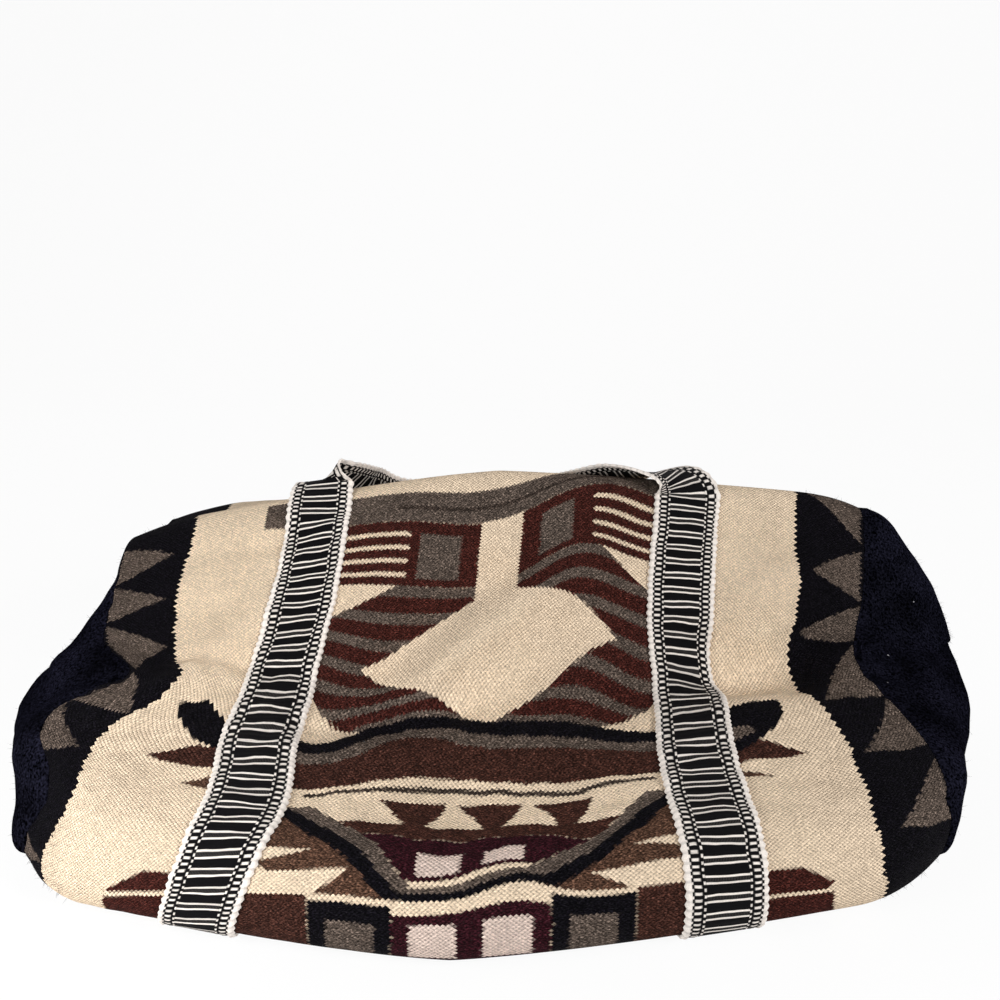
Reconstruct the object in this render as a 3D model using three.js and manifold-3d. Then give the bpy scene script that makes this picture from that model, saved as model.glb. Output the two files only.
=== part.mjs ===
// Woven wool duffel bag, lightly filled and slumped on a table.
// A tapestry-woven barrel is closed by two felted wool end panels and a top zip, and two webbing
// straps run round the barrel and lie on top as carry handles.
// Millimetres, +Z up, +X along the bag, -Y its front. The origin is on the table under the middle.

import * as THREE from 'three';
import { mergeVertices } from 'three/addons/utils/BufferGeometryUtils.js';
import Module from 'manifold-3d';

const wasm = await Module();
wasm.setup();

// Cloth and clearances
const CLOTH = 4; // thickness of the woven barrel cloth
const FELT = 3.5; // thickness of the felted end panels
const SEAM_GAP = 0.3; // clearance between pieces that are sewn or seated together

// Straps
const STRAP_WIDTH = 45;
const STRAP_THICK = 2.2;
const STRAP_LEFT = -122; // place of the left strap along the cloth
const STRAP_RIGHT = 124; // place of the right strap along the cloth
const STRAP_LIFT = 0.4; // clearance under a strap sewn to the barrel
// Sways of the straps along the cloth: place and half width as shares of the girth, sway
const SWAY_LEFT = [[0.225, 0.035, -7], [0.365, 0.06, 10]];
const SWAY_RIGHT = [[0.25, 0.055, 7]];
const SWAY_REACH = 60; // how far along the cloth the grid lines follow a sway
const STRAP_JOIN = -10; // where the front and back straps meet under the bag, towards the back

// Zip
const ZIP_Y = 132; // the zip's line, behind the middle
const ZIP_Z = 138; // top of the cloth beside the zip
const ZIP_GAP = 12; // width of the slit in the cloth
const TAPE_WIDTH = 15;
const TAPE_THICK = 1;
const TAPE_PART = 1.8; // gap between the two tapes
const TOOTH_PITCH = 6;
const TOOTH_TIP = 0.8; // from the zip's line to a tooth's tip
const TOOTH_ROOT = 2.6; // from the zip's line to the cord that the teeth stand on
const TOOTH_BACK = 3.8; // from the zip's line to the back of that cord
const TOOTH_HIGH = 2;
const SLIDER_LONG = 13;
const SLIDER_WIDE = 9.2;
const SLIDER_PLATE = 1.3;
const SLIDER_POST = 0.8; // thickness of the post that parts the teeth
const LUG_LONG = 7;
const LUG_HIGH = 3.8;
const LUG_THICK = 1.8;
const LUG_WALL = 1.3;
const PULL_LONG = 28;
const PULL_WIDE = 7;
const PULL_THICK = 1.4;
const PULL_BAR = 1.3; // width of the bar that hangs in the lug
const STOP_LONG = 4;

// Barrel
const BARREL_HALF = 252; // half length of the woven cloth between the end seams
const ZIP_HALF = BARREL_HALF - 66; // half length of the zip
const GIRTH = 940; // cloth measured round the barrel, from lip to lip of the zip
const LIFT = STRAP_THICK + STRAP_LIFT; // the barrel lies on the straps
const SLIT_END = 0.8; // the slit closes to this past the zip
const SLIT_SHUT = 0.92; // share of the half length where the slit is closed
const LIP_RISE_LEFT = 2; // the closed lips climb by this from the zip's left end to the seam
const LIP_RISE_RIGHT = 14; // the same at the right end
const FLARE = 12.5; // the lower cloth spreads by this
const DRIFT = -19; // the lower cloth is pushed to the left by this
const DRIFT_EASE = 0.42; // share of both that the end seams hold back
const TOE_DRIFT = -6; // the front roll's left half is pushed further by this
// Pulls that draw an end seam in, or out if negative: place and half width as shares of the girth, pull
const PULLS_LEFT = [[0.1, 0.1, -10], [0.235, 0.034, 34], [0.362, 0.038, 17]];
const PULLS_RIGHT = [[0.235, 0.06, 18]];
const ROUND_FROM = 0.78; // share of the half length where the ends begin to close in
const ROUND_IN = 0.1; // share by which the seams are drawn in
const END_BEND = 1.3; // how late the section changes from the middle's to the end's

// Corners of the slumped section, front to back: [y, height above the cloth's base, corner radius].
// The ridge is the top front fold, the crook the inner corner above the flattened seat.
const MIDDLE = {
  ridge: [78, 204, 24],
  crook: [-16, 56, 60],
  seat: [-178, 48, 34],
  toe: [-185, 0, 24],
  heel: [160, 0, 40],
  shoulder: [184, 152, 34],
};
const LEFT_END = {
  ridge: [80, 148, 30],
  crook: [14, 92, 50],
  seat: [-118, 66, 44],
  toe: [-130, 0, 22],
  heel: [150, 0, 40],
  shoulder: [178, 136, 34],
};
const RIGHT_END = {
  ridge: [80, 178, 26],
  crook: [32, 88, 40],
  seat: [-122, 62, 44],
  toe: [-134, 0, 34],
  heel: [150, 0, 40],
  shoulder: [178, 146, 34],
};
const VALLEY = 20; // flat cloth in front of the zip's line
const VALLEY_RADIUS = 14;

// End panels
const CORE = [78, 62]; // middle of an end panel: y, height above the cloth's base
const BULGE_LEFT = 42;
const BULGE_RIGHT = 70;
// Dents in the panels: [y, z], half width and depth, with a negative depth for a bulge
const DENTS_LEFT = [[[104, 118], 58, 42], [[-4, 72], 46, -32], [[-80, 30], 46, 12]];
const DENTS_RIGHT = [[[110, 140], 50, 26], [[16, 68], 44, -20], [[-95, 34], 50, 50]];
const DOME_POWER = 0.6; // how steeply a panel leaves its seam
const PLEATS = 9;
const PLEAT_HIGH = 3;
const SEAM_SAMPLES = 480; // stretches of a seam that its panel's distance is measured to

// Slack folds in the cloth: [along, round] at both ends in cloth millimetres, half width and height
const FOLDS = [
  { from: [46, 146], to: [-30, 218], width: 17, height: 7 },
  { from: [160, 156], to: [214, 130], width: 11, height: 6 },
  { from: [-150, 160], to: [-206, 226], width: 16, height: 8 },
  { from: [-92, 262], to: [-12, 236], width: 15, height: -6 },
  { from: [168, 214], to: [222, 186], width: 14, height: -7 },
  { from: [-70, 330], to: [60, 322], width: 30, height: -4 },
];
const RUMPLE = 1.4; // height of the gentle waves between the folds

// Grid lines round the barrel: [end as a share of the girth, cells up to there]
const ROUND_BANDS = [[0.09, 9], [0.4, 17], [0.48, 8], [0.77, 6], [0.83, 5], [1, 10]];
const SURFACE_STEP = 1e-3; // step for the surface's slopes

// Small helpers

const vec = (x, y, z) => new THREE.Vector3(x, y, z);
const clamp01 = (t) => Math.min(1, Math.max(0, t));
const ramp = (x, a, b) => THREE.MathUtils.smoothstep(x, a, b);
const bell = (x, middle, width) => Math.exp(-(((x - middle) / width) ** 2));

// The barrel's surface

function sectionCorners(u) {
  const end = u < 0 ? LEFT_END : RIGHT_END;
  const share = Math.abs(u) ** END_BEND;
  const mixed = (name) => MIDDLE[name].map((value, k) => THREE.MathUtils.lerp(value, end[name][k], share));
  const slit = THREE.MathUtils.lerp(ZIP_GAP, SLIT_END, ramp(Math.abs(u), ROUND_FROM, SLIT_SHUT)) / 2;
  const rise = u < 0 ? LIP_RISE_LEFT : LIP_RISE_RIGHT;
  const zip = ZIP_Z - LIFT + rise * ramp(Math.abs(u), ROUND_FROM, 1);
  return [
    [ZIP_Y - slit, zip, 0],
    [ZIP_Y - VALLEY, zip, VALLEY_RADIUS],
    ...Object.keys(MIDDLE).map(mixed),
    [ZIP_Y + slit, zip, 0],
  ];
}

// One section as a path of straight stretches and rounded corners
function sectionPath(u) {
  const corners = sectionCorners(u);
  const points = corners.map(([y, z]) => new THREE.Vector2(y, z));
  const path = new THREE.Path();
  path.moveTo(points[0].x, points[0].y);
  for (let k = 1; k < corners.length - 1; k += 1) {
    const back = points[k - 1].clone().sub(points[k]);
    const ahead = points[k + 1].clone().sub(points[k]);
    const room = 0.48 * Math.min(back.length(), ahead.length());
    const cut = Math.min(corners[k][2] / Math.tan(back.angleTo(ahead) / 2), room);
    const start = points[k].clone().addScaledVector(back.normalize(), cut);
    const end = points[k].clone().addScaledVector(ahead.normalize(), cut);
    path.lineTo(start.x, start.y);
    path.quadraticCurveTo(points[k].x, points[k].y, end.x, end.y);
  }
  path.lineTo(points.at(-1).x, points.at(-1).y);
  return path;
}

const sectionCache = new Map();
function sectionPoint(u, v) {
  if (!sectionCache.has(u)) {
    sectionCache.set(u, sectionPath(u));
  }
  return sectionCache.get(u).getPoint(v);
}

// How far the cloth at [along, round] stands off the plain section
function slack(along, round) {
  const share = round / GIRTH;
  const front = ramp(share, 0.07, 0.13) * (1 - ramp(share, 0.4, 0.45));
  const back = ramp(share, 0.85, 0.89) * (1 - ramp(share, 0.93, 0.97));
  let height = RUMPLE * Math.sin(along / 37 + 1.3) * Math.sin(round / 29 + 0.4);
  height += 0.8 * RUMPLE * Math.sin(along / 23 - round / 41);
  for (const fold of FOLDS) {
    const [a0, r0] = fold.from;
    const [da, dr] = [fold.to[0] - a0, fold.to[1] - r0];
    const t = clamp01(((along - a0) * da + (round - r0) * dr) / (da * da + dr * dr));
    const away = Math.hypot(along - a0 - t * da, round - r0 - t * dr);
    height += fold.height * Math.exp(-((away / fold.width) ** 2));
  }
  return height * (front + back);
}

// Shares of the lower cloth's and the front roll's drift that a place round the barrel takes
const lowShare = (v) => ramp(v, 0.07, 0.32) * (1 - ramp(v, 0.6, 0.85));
const toeShare = (v) => ramp(v, 0.3, 0.42) * (1 - ramp(v, 0.6, 0.85));

// The plain slumped form, before the slack folds
function plainPoint(u, v) {
  const section = sectionPoint(u, v);
  const closing = ROUND_IN * clamp01((Math.abs(u) - ROUND_FROM) / (1 - ROUND_FROM)) ** 2;
  const y = THREE.MathUtils.lerp(section.x, CORE[0], closing);
  const z = THREE.MathUtils.lerp(section.y, CORE[1], closing);
  const pulls = u < 0 ? PULLS_LEFT : PULLS_RIGHT;
  const pulled = u ** 3 * pulls.reduce((sum, [at, wide, pull]) => sum + pull * bell(v, at, wide), 0);
  const drift = lowShare(v) * (DRIFT + FLARE * u) * (1 - DRIFT_EASE * u * u);
  const toe = toeShare(v) * TOE_DRIFT * (1 - 2 * u) * (1 - u * u);
  const x = u * BARREL_HALF + drift + toe - pulled;
  return vec(x, y, z + LIFT);
}

function normalOf(point, u, v) {
  const [u0, u1] = [Math.max(-1, u - SURFACE_STEP), Math.min(1, u + SURFACE_STEP)];
  const [v0, v1] = [Math.max(0, v - SURFACE_STEP), Math.min(1, v + SURFACE_STEP)];
  const along = point(u1, v).sub(point(u0, v));
  const round = point(u, v1).sub(point(u, v0));
  return round.cross(along).normalize();
}

function barrelPoint(u, v) {
  const height = slack(u * BARREL_HALF, v * GIRTH);
  return plainPoint(u, v).addScaledVector(normalOf(plainPoint, u, v), height);
}

const barrelNormal = (u, v) => normalOf(barrelPoint, u, v);

// Grid lines of the barrel, so that straps and seams share its facets

const HALF_STRAP = STRAP_WIDTH / 2;

function strapLines(place) {
  return [place - HALF_STRAP, place, place + HALF_STRAP].map((along) => along / BARREL_HALF);
}

function spread(from, to, cells) {
  return Array.from({ length: cells - 1 }, (_, k) => THREE.MathUtils.lerp(from, to, (k + 1) / cells));
}

const LEFT_LINES = strapLines(STRAP_LEFT);
const RIGHT_LINES = strapLines(STRAP_RIGHT);
const ALONG_LINES = [
  -1, ...spread(-1, LEFT_LINES[0], 5), ...LEFT_LINES,
  ...spread(LEFT_LINES[2], RIGHT_LINES[0], 8), ...RIGHT_LINES,
  ...spread(RIGHT_LINES[2], 1, 5), 1,
];

function roundLines() {
  const lines = [0];
  let from = 0;
  for (const [to, cells] of ROUND_BANDS) {
    lines.push(...spread(from, to, cells), to);
    from = to;
  }
  return lines;
}
const ROUND_LINES = roundLines();

// Place of a grid line where the straps sway
function swayed(u, v) {
  const sway = (place, sways) => bell(u * BARREL_HALF, place, SWAY_REACH)
    * sways.reduce((sum, [at, wide, by]) => sum + by * bell(v, at, wide), 0);
  const shift = sway(STRAP_LEFT, SWAY_LEFT) + sway(STRAP_RIGHT, SWAY_RIGHT);
  return u + (shift / BARREL_HALF) * (1 - u ** 8);
}

// A sheet with thickness: an open net of triangles, the points on its face and those behind them
function thickSheet(face, behind, triangles) {
  const count = face.length;
  const index = [];
  const edges = new Set();
  for (const [a, b, c] of triangles) {
    index.push(a, b, c, c + count, b + count, a + count);
    for (const [p, q] of [[a, b], [b, c], [c, a]]) {
      edges.add(`${p},${q}`);
    }
  }
  for (const edge of edges) {
    const [p, q] = edge.split(',').map(Number);
    if (edges.has(`${q},${p}`)) {
      continue;
    }
    if (p < q) {
      index.push(q, p, q + count, p, p + count, q + count);
    } else {
      index.push(q, p, p + count, q, p + count, q + count);
    }
  }
  const geometry = new THREE.BufferGeometry().setFromPoints([...face, ...behind]);
  geometry.setIndex(index);
  return geometry;
}

// Triangles of a net with rows and columns, facing along column step cross row step
function netTriangles(rows, columns, { closed = false, crossed = false } = {}) {
  const triangles = [];
  const last = closed ? columns : columns - 1;
  for (let i = 0; i < rows - 1; i += 1) {
    for (let j = 0; j < last; j += 1) {
      const next = (j + 1) % columns;
      const [a, b] = [i * columns + j, i * columns + next];
      const [c, d] = [a + columns, b + columns];
      if (crossed) {
        triangles.push([a, b, d], [a, d, c]);
      } else {
        triangles.push([a, b, c], [b, d, c]);
      }
    }
  }
  return triangles;
}

// Woven barrel: one cloth from lip to lip of the zip

function barrelGeometry() {
  const face = [];
  const behind = [];
  for (const line of ALONG_LINES) {
    for (const v of ROUND_LINES) {
      const u = swayed(line, v);
      const point = barrelPoint(u, v);
      face.push(point);
      behind.push(point.clone().addScaledVector(barrelNormal(u, v), -CLOTH));
    }
  }
  return thickSheet(face, behind, netTriangles(ALONG_LINES.length, ROUND_LINES.length));
}

// End panels: a slack dome sewn to the barrel's seam

const PANEL_RINGS = [1, 0.94, 0.84, 0.7, 0.5, 0.26];

// Even distance from the end seam to places inside it, and the seam's x carried over to them
function seamField(side) {
  const round = Array.from({ length: SEAM_SAMPLES }, (_, k) => barrelPoint(side, k / (SEAM_SAMPLES - 1)));
  const stretches = round.map((point, k) => {
    const next = round[(k + 1) % SEAM_SAMPLES];
    return { at: point.clone().lerp(next, 0.5), long: Math.hypot(next.y - point.y, next.z - point.z) };
  });
  return (y, z) => {
    let pull = 0;
    let moment = 0;
    for (const { at, long } of stretches) {
      const weight = long / Math.hypot(y - at.y, z - at.z) ** 3;
      pull += weight;
      moment += weight * at.x;
    }
    return { distance: Math.sqrt(2 / pull), x: moment / pull };
  };
}

// A panel's point, r from 1 at the seam to 0 at the middle
function panelSurface(side) {
  const bulge = side < 0 ? BULGE_LEFT : BULGE_RIGHT;
  const dents = side < 0 ? DENTS_LEFT : DENTS_RIGHT;
  const field = seamField(side);
  const core = vec(side * BARREL_HALF, CORE[0], CORE[1] + LIFT);
  const deepest = field(core.y, core.z).distance;
  return (r, v) => {
    const seam = barrelPoint(side, v);
    if (r === 1) {
      return seam.add(vec(side * SEAM_GAP, 0, 0));
    }
    const at = core.clone().lerp(seam, r);
    const { distance, x } = field(at.y, at.z);
    const swell = (distance / deepest) ** DOME_POWER;
    let rise = bulge * swell;
    for (const [[y, z], width, depth] of dents) {
      rise -= depth * swell * Math.exp(-((at.y - y) ** 2 + (at.z - z) ** 2) / width ** 2);
    }
    rise += PLEAT_HIGH * Math.sin(2 * Math.PI * PLEATS * v) * r ** 3 * (1 - r) * 4;
    at.x = x + side * (SEAM_GAP + rise);
    return at;
  };
}

function endPanelGeometry(side) {
  const columns = ROUND_LINES.length;
  const panelPoint = panelSurface(side);
  const face = [];
  const behind = [];
  for (const r of PANEL_RINGS) {
    for (const v of ROUND_LINES) {
      face.push(panelPoint(r, v));
    }
  }
  const rows = PANEL_RINGS.length;
  const pole = face.length;
  face.push(panelPoint(0, 0));
  const triangles = netTriangles(rows, columns, { closed: true });
  for (let j = 0; j < columns; j += 1) {
    triangles.push([pole, (rows - 1) * columns + j, (rows - 1) * columns + ((j + 1) % columns)]);
  }
  if (side < 0) {
    triangles.forEach((triangle) => triangle.reverse());
  }
  const outer = new THREE.BufferGeometry().setFromPoints(face);
  outer.setIndex(triangles.flat());
  outer.computeVertexNormals();
  const normals = outer.getAttribute('normal');
  face.forEach((point, k) => {
    const onSeam = k < columns;
    const inward = onSeam
      ? barrelNormal(side, ROUND_LINES[k]).multiplyScalar(-CLOTH)
      : vec(0, 0, 0).fromBufferAttribute(normals, k).multiplyScalar(-FELT);
    behind.push(point.clone().add(inward));
  });
  return thickSheet(face, behind, triangles);
}

// Straps: sewn runs on the barrel joined by a loose handle

// A cross line of a strap: three points on its under face and the way out of that face
function runRow(lines, v) {
  const places = lines.map((line) => swayed(line, v));
  const out = places.map((u) => barrelNormal(u, v));
  const under = places.map((u, k) => barrelPoint(u, v).addScaledVector(out[k], STRAP_LIFT));
  return { under, out };
}

// Place round the barrel where the cloth under the bag meets the straps' join
function joinShare() {
  const found = [0.48, 0.81];
  for (let k = 0; k < 40; k += 1) {
    const middle = (found[0] + found[1]) / 2;
    found[sectionPoint(0, middle).x < STRAP_JOIN ? 0 : 1] = middle;
  }
  return found[0];
}
const JOIN_SHARE = joinShare();

// Highest point of the cloth on a stretch of the section at this place along the bag
function crest(x, from, to) {
  const u = x / BARREL_HALF;
  const shares = Array.from({ length: 25 }, (_, k) => THREE.MathUtils.lerp(from, to, k / 24));
  const points = shares.map((v) => barrelPoint(u, v));
  return points.reduce((top, point) => (point.z > top.z ? point : top));
}

// Rows of a loose handle through stations: middle of the strap and the way across it
function handleRows(before, stations, after, steps) {
  const rowMiddle = (row) => row.under[1].clone().addScaledVector(row.out[1], STRAP_THICK / 2);
  const rowAcross = (row) => row.under[2].clone().sub(row.under[0]).normalize();
  const middles = [before[0], before[1]].map(rowMiddle);
  const across = [before[0], before[1]].map(rowAcross);
  for (const station of stations) {
    middles.push(station.at);
    across.push(station.across.clone().normalize());
  }
  middles.push(...[after[0], after[1]].map(rowMiddle));
  across.push(...[after[0], after[1]].map(rowAcross));
  const path = new THREE.CatmullRomCurve3(middles, false, 'centripetal');
  const turn = new THREE.CatmullRomCurve3(across, false, 'catmullrom');
  const spans = middles.length - 1;
  const rows = [];
  for (let k = steps + 1; k < (spans - 1) * steps; k += 1) {
    const t = k / (spans * steps);
    const way = path.getTangent(t);
    const side = turn.getPoint(t);
    side.addScaledVector(way, -side.dot(way)).normalize();
    const out = side.clone().cross(way).normalize();
    const under = [-HALF_STRAP, 0, HALF_STRAP].map((w) => path.getPoint(t)
      .addScaledVector(side, w).addScaledVector(out, -STRAP_THICK / 2));
    rows.push({ under, out: [out, out, out] });
  }
  return rows;
}

function strapGeometry(rows) {
  const face = [];
  const behind = [];
  for (const row of rows) {
    row.under.forEach((point, k) => {
      behind.push(point);
      face.push(point.clone().addScaledVector(row.out[k], STRAP_THICK));
    });
  }
  return thickSheet(face, behind, netTriangles(rows.length, 3, { crossed: true }));
}

// Front strap: up the left front, a fold at the ridge, along behind the ridge and down the right front
const FRONT_LEAVE = 0.09; // share of the girth where the front straps leave the cloth
const RIDGE_REACH = 0.13;

function frontStrapGeometry() {
  const sewn = ROUND_LINES.filter((v) => v >= FRONT_LEAVE && v < JOIN_SHARE - 0.004);
  const shares = [...sewn, JOIN_SHARE - SEAM_GAP / GIRTH];
  const up = shares.map((v) => runRow(LEFT_LINES, v)).reverse();
  const down = shares.map((v) => runRow([...RIGHT_LINES].reverse(), v));
  const ridge = (x) => crest(x, 0, RIDGE_REACH);
  const over = (x, behind, above) => ridge(x).add(vec(0, behind, above));
  const slope = (x, off) => {
    const across = vec(0, -0.5, 0.866);
    const edge = vec(x, ZIP_Y - VALLEY + 4 + off, ZIP_Z + 6 + off);
    return { at: edge.addScaledVector(across, HALF_STRAP), across };
  };
  const stations = [
    { at: over(STRAP_LEFT, -5, 5), across: vec(0.95, 0.05, 0.3) },
    { at: over(STRAP_LEFT + 1, 1, 9.5), across: vec(0.9, 0, 0.43) },
    { at: over(STRAP_LEFT + 7, 10, 7), across: vec(0.78, -0.2, 0.6) },
    { at: over(STRAP_LEFT + 27, 29, -9), across: vec(0.55, -0.35, 0.76) },
    slope(STRAP_LEFT + 56, -2),
    slope(-20, 0),
    slope(40, 1),
    { at: over(STRAP_RIGHT - 46, 17, -5), across: vec(-0.12, -0.7, 0.66) },
    { at: over(STRAP_RIGHT - 20, 9, 3), across: vec(-0.5, -0.8, 0.25) },
    { at: over(STRAP_RIGHT - 2, -4, 3.5), across: vec(-0.9, -0.42, 0) },
  ];
  const loose = handleRows([up.at(-2), up.at(-1)], stations, [down[0], down[1]], 3);
  return strapGeometry([...up, ...loose, ...down]);
}

// Back strap: up the right of the back, flat along the shoulder behind the zip and down the left
const BACK_LEAVE = 0.95; // share of the girth where the back straps leave the cloth

function backStrapGeometry() {
  const sewn = ROUND_LINES.filter((v) => v > JOIN_SHARE + 0.004 && v <= BACK_LEAVE);
  const shares = [JOIN_SHARE + SEAM_GAP / GIRTH, ...sewn];
  const up = shares.map((v) => runRow([...RIGHT_LINES].reverse(), v));
  const down = shares.map((v) => runRow(LEFT_LINES, v)).reverse();
  const shoulder = (x) => crest(x, 0.88, 1);
  const over = (x, ahead, above) => shoulder(x).add(vec(0, -ahead, above));
  const stations = [
    { at: over(STRAP_RIGHT - 4, 2, 5), across: vec(-0.95, 0.3, 0) },
    { at: over(STRAP_RIGHT - 20, 4, 6), across: vec(-0.55, 0.83, 0) },
    { at: over(STRAP_RIGHT - 48, 3, 6), across: vec(-0.1, 1, -0.1) },
    { at: over(30, 2, 7), across: vec(0, 1, -0.14) },
    { at: over(-30, 2, 7), across: vec(0, 1, -0.14) },
    { at: over(STRAP_LEFT + 48, 3, 6), across: vec(0.1, 1, -0.1) },
    { at: over(STRAP_LEFT + 20, 4, 6), across: vec(0.55, 0.83, 0) },
    { at: over(STRAP_LEFT + 4, 2, 5), across: vec(0.95, 0.3, 0) },
  ];
  const loose = handleRows([up.at(-2), up.at(-1)], stations, [down[0], down[1]], 3);
  return strapGeometry([...up, ...loose, ...down]);
}

// Zip: heights of its layers, from the tape up
const TAPE_TOP = ZIP_Z - CLOTH - SEAM_GAP;
const TEETH_BASE = TAPE_TOP + SEAM_GAP;
const SLIDER_TOP = TEETH_BASE + TOOTH_HIGH + SEAM_GAP + SLIDER_PLATE;
const SLIDER_BASE = TAPE_TOP - TAPE_THICK - SEAM_GAP - SLIDER_PLATE;
const SLIDER_X = ZIP_HALF - STOP_LONG - SLIDER_LONG / 2 - SEAM_GAP;
const HINGE_Z = SLIDER_TOP + (LUG_HIGH - LUG_WALL) / 2;

function extruded(shape, depth) {
  return new THREE.ExtrudeGeometry(shape, { depth, bevelEnabled: false, curveSegments: 5 });
}

function tapeGeometry(side) {
  const near = side * (TAPE_PART / 2);
  const box = new THREE.BoxGeometry(2 * ZIP_HALF, TAPE_WIDTH, TAPE_THICK);
  return box.translate(0, ZIP_Y + near + (side * TAPE_WIDTH) / 2, TAPE_TOP - TAPE_THICK / 2);
}

// A row of teeth on their cord, between the end stops
function teethGeometry(side) {
  const reach = ZIP_HALF - STOP_LONG - SEAM_GAP;
  const count = Math.floor((2 * reach) / TOOTH_PITCH);
  const shift = side > 0 ? TOOTH_PITCH / 2 : 0;
  const outline = [new THREE.Vector2(-reach, TOOTH_BACK), new THREE.Vector2(-reach, TOOTH_ROOT)];
  for (let k = 0; k < count; k += 1) {
    const from = -reach + k * TOOTH_PITCH + shift + TOOTH_PITCH * 0.08;
    const to = from + TOOTH_PITCH * 0.42;
    if (to < reach - TOOTH_PITCH * 0.05) {
      outline.push(new THREE.Vector2(from, TOOTH_ROOT), new THREE.Vector2(from, TOOTH_TIP));
      outline.push(new THREE.Vector2(to, TOOTH_TIP), new THREE.Vector2(to, TOOTH_ROOT));
    }
  }
  outline.push(new THREE.Vector2(reach, TOOTH_ROOT), new THREE.Vector2(reach, TOOTH_BACK));
  const shape = new THREE.Shape(outline.map((p) => new THREE.Vector2(p.x, ZIP_Y + side * p.y)));
  return extruded(shape, TOOTH_HIGH).translate(0, 0, TEETH_BASE);
}

// A crimped stop: a low arch across the teeth's end
function stopGeometry(x, from, to) {
  const shape = new THREE.Shape();
  const high = TOOTH_HIGH + 0.4;
  shape.moveTo(from, 0);
  shape.lineTo(to, 0);
  shape.lineTo(to, high * 0.6);
  shape.quadraticCurveTo(to, high, to - (to - from) * 0.25, high);
  shape.lineTo(from + (to - from) * 0.25, high);
  shape.quadraticCurveTo(from, high, from, high * 0.6);
  const bar = extruded(shape, STOP_LONG);
  bar.rotateX(Math.PI / 2).rotateZ(Math.PI / 2);
  return bar.translate(x, ZIP_Y, TEETH_BASE);
}

function toManifold(geometry) {
  const plain = geometry.index ? geometry.clone() : geometry;
  plain.deleteAttribute('normal');
  plain.deleteAttribute('uv');
  const merged = mergeVertices(plain, 1e-4);
  return new wasm.Manifold(new wasm.Mesh({
    numProp: 3,
    vertProperties: new Float32Array(merged.getAttribute('position').array),
    triVerts: new Uint32Array(merged.index.array),
  }));
}

function fromManifold(solid) {
  const mesh = solid.getMesh();
  const geometry = new THREE.BufferGeometry();
  geometry.setAttribute('position', new THREE.BufferAttribute(mesh.vertProperties, 3));
  geometry.setIndex(new THREE.BufferAttribute(mesh.triVerts, 1));
  return geometry;
}

// Outline of a slider plate: broad at the nose, waisted towards the tail
function sliderOutline() {
  const [front, wide] = [SLIDER_LONG / 2, SLIDER_WIDE / 2];
  const shape = new THREE.Shape();
  shape.moveTo(-front, -wide * 0.8);
  shape.lineTo(front * 0.2, -wide);
  shape.quadraticCurveTo(front, -wide, front, -wide * 0.3);
  shape.lineTo(front, wide * 0.3);
  shape.quadraticCurveTo(front, wide, front * 0.2, wide);
  shape.lineTo(-front, wide * 0.8);
  shape.closePath();
  return shape;
}

function lugOutline() {
  const reach = LUG_LONG / 2;
  const hole = reach - LUG_WALL;
  const shape = new THREE.Shape();
  shape.moveTo(-reach, -SLIDER_PLATE / 2);
  shape.lineTo(-hole, -SLIDER_PLATE / 2);
  shape.lineTo(-hole, LUG_HIGH - LUG_WALL);
  shape.lineTo(hole, LUG_HIGH - LUG_WALL);
  shape.lineTo(hole, -SLIDER_PLATE / 2);
  shape.lineTo(reach, -SLIDER_PLATE / 2);
  shape.lineTo(reach, LUG_HIGH * 0.6);
  shape.quadraticCurveTo(reach, LUG_HIGH, reach - LUG_WALL, LUG_HIGH);
  shape.lineTo(-reach + LUG_WALL, LUG_HIGH);
  shape.quadraticCurveTo(-reach, LUG_HIGH, -reach, LUG_HIGH * 0.6);
  return shape;
}

function sliderGeometry() {
  const plate = (z) => extruded(sliderOutline(), SLIDER_PLATE).translate(SLIDER_X, ZIP_Y, z);
  const tall = SLIDER_TOP - SLIDER_BASE - SLIDER_PLATE;
  const post = new THREE.BoxGeometry(SLIDER_LONG * 0.35, SLIDER_POST, tall);
  post.translate(SLIDER_X + SLIDER_LONG * 0.2, ZIP_Y, (SLIDER_TOP + SLIDER_BASE) / 2);
  const lug = extruded(lugOutline(), LUG_THICK).rotateX(Math.PI / 2);
  lug.translate(SLIDER_X, ZIP_Y + LUG_THICK / 2, SLIDER_TOP);
  const pieces = [plate(SLIDER_TOP - SLIDER_PLATE), plate(SLIDER_BASE), post, lug].map(toManifold);
  return fromManifold(pieces.reduce((joined, piece) => joined.add(piece)));
}

// Pull: a flat tongue whose bar hangs in the slider's lug
function pullGeometry() {
  const wide = PULL_WIDE / 2;
  const bar = PULL_BAR / 2;
  const shape = new THREE.Shape();
  shape.moveTo(bar, -wide * 0.72);
  shape.lineTo(bar, wide * 0.72);
  shape.lineTo(-PULL_LONG * 0.55, wide * 0.72);
  shape.lineTo(-PULL_LONG * 0.7, wide);
  shape.lineTo(-PULL_LONG + wide, wide);
  shape.absarc(-PULL_LONG + wide, 0, wide, Math.PI / 2, (3 * Math.PI) / 2, false);
  shape.lineTo(-PULL_LONG * 0.7, -wide);
  shape.lineTo(-PULL_LONG * 0.55, -wide * 0.72);
  const slot = new THREE.Path();
  const inner = LUG_THICK / 2 + SEAM_GAP;
  slot.moveTo(-bar, -inner);
  slot.lineTo(-bar - LUG_HIGH - LUG_WALL, -inner);
  slot.lineTo(-bar - LUG_HIGH - LUG_WALL, inner);
  slot.lineTo(-bar, inner);
  shape.holes.push(slot);
  return extruded(shape, PULL_THICK).translate(SLIDER_X, ZIP_Y, HINGE_Z - PULL_THICK / 2);
}

// Materials and the assembled bag

const cloth = (color) => new THREE.MeshStandardMaterial({ color, roughness: 0.95, metalness: 0 });
const metal = (color) => new THREE.MeshStandardMaterial({ color, roughness: 0.35, metalness: 0.9 });

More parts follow.
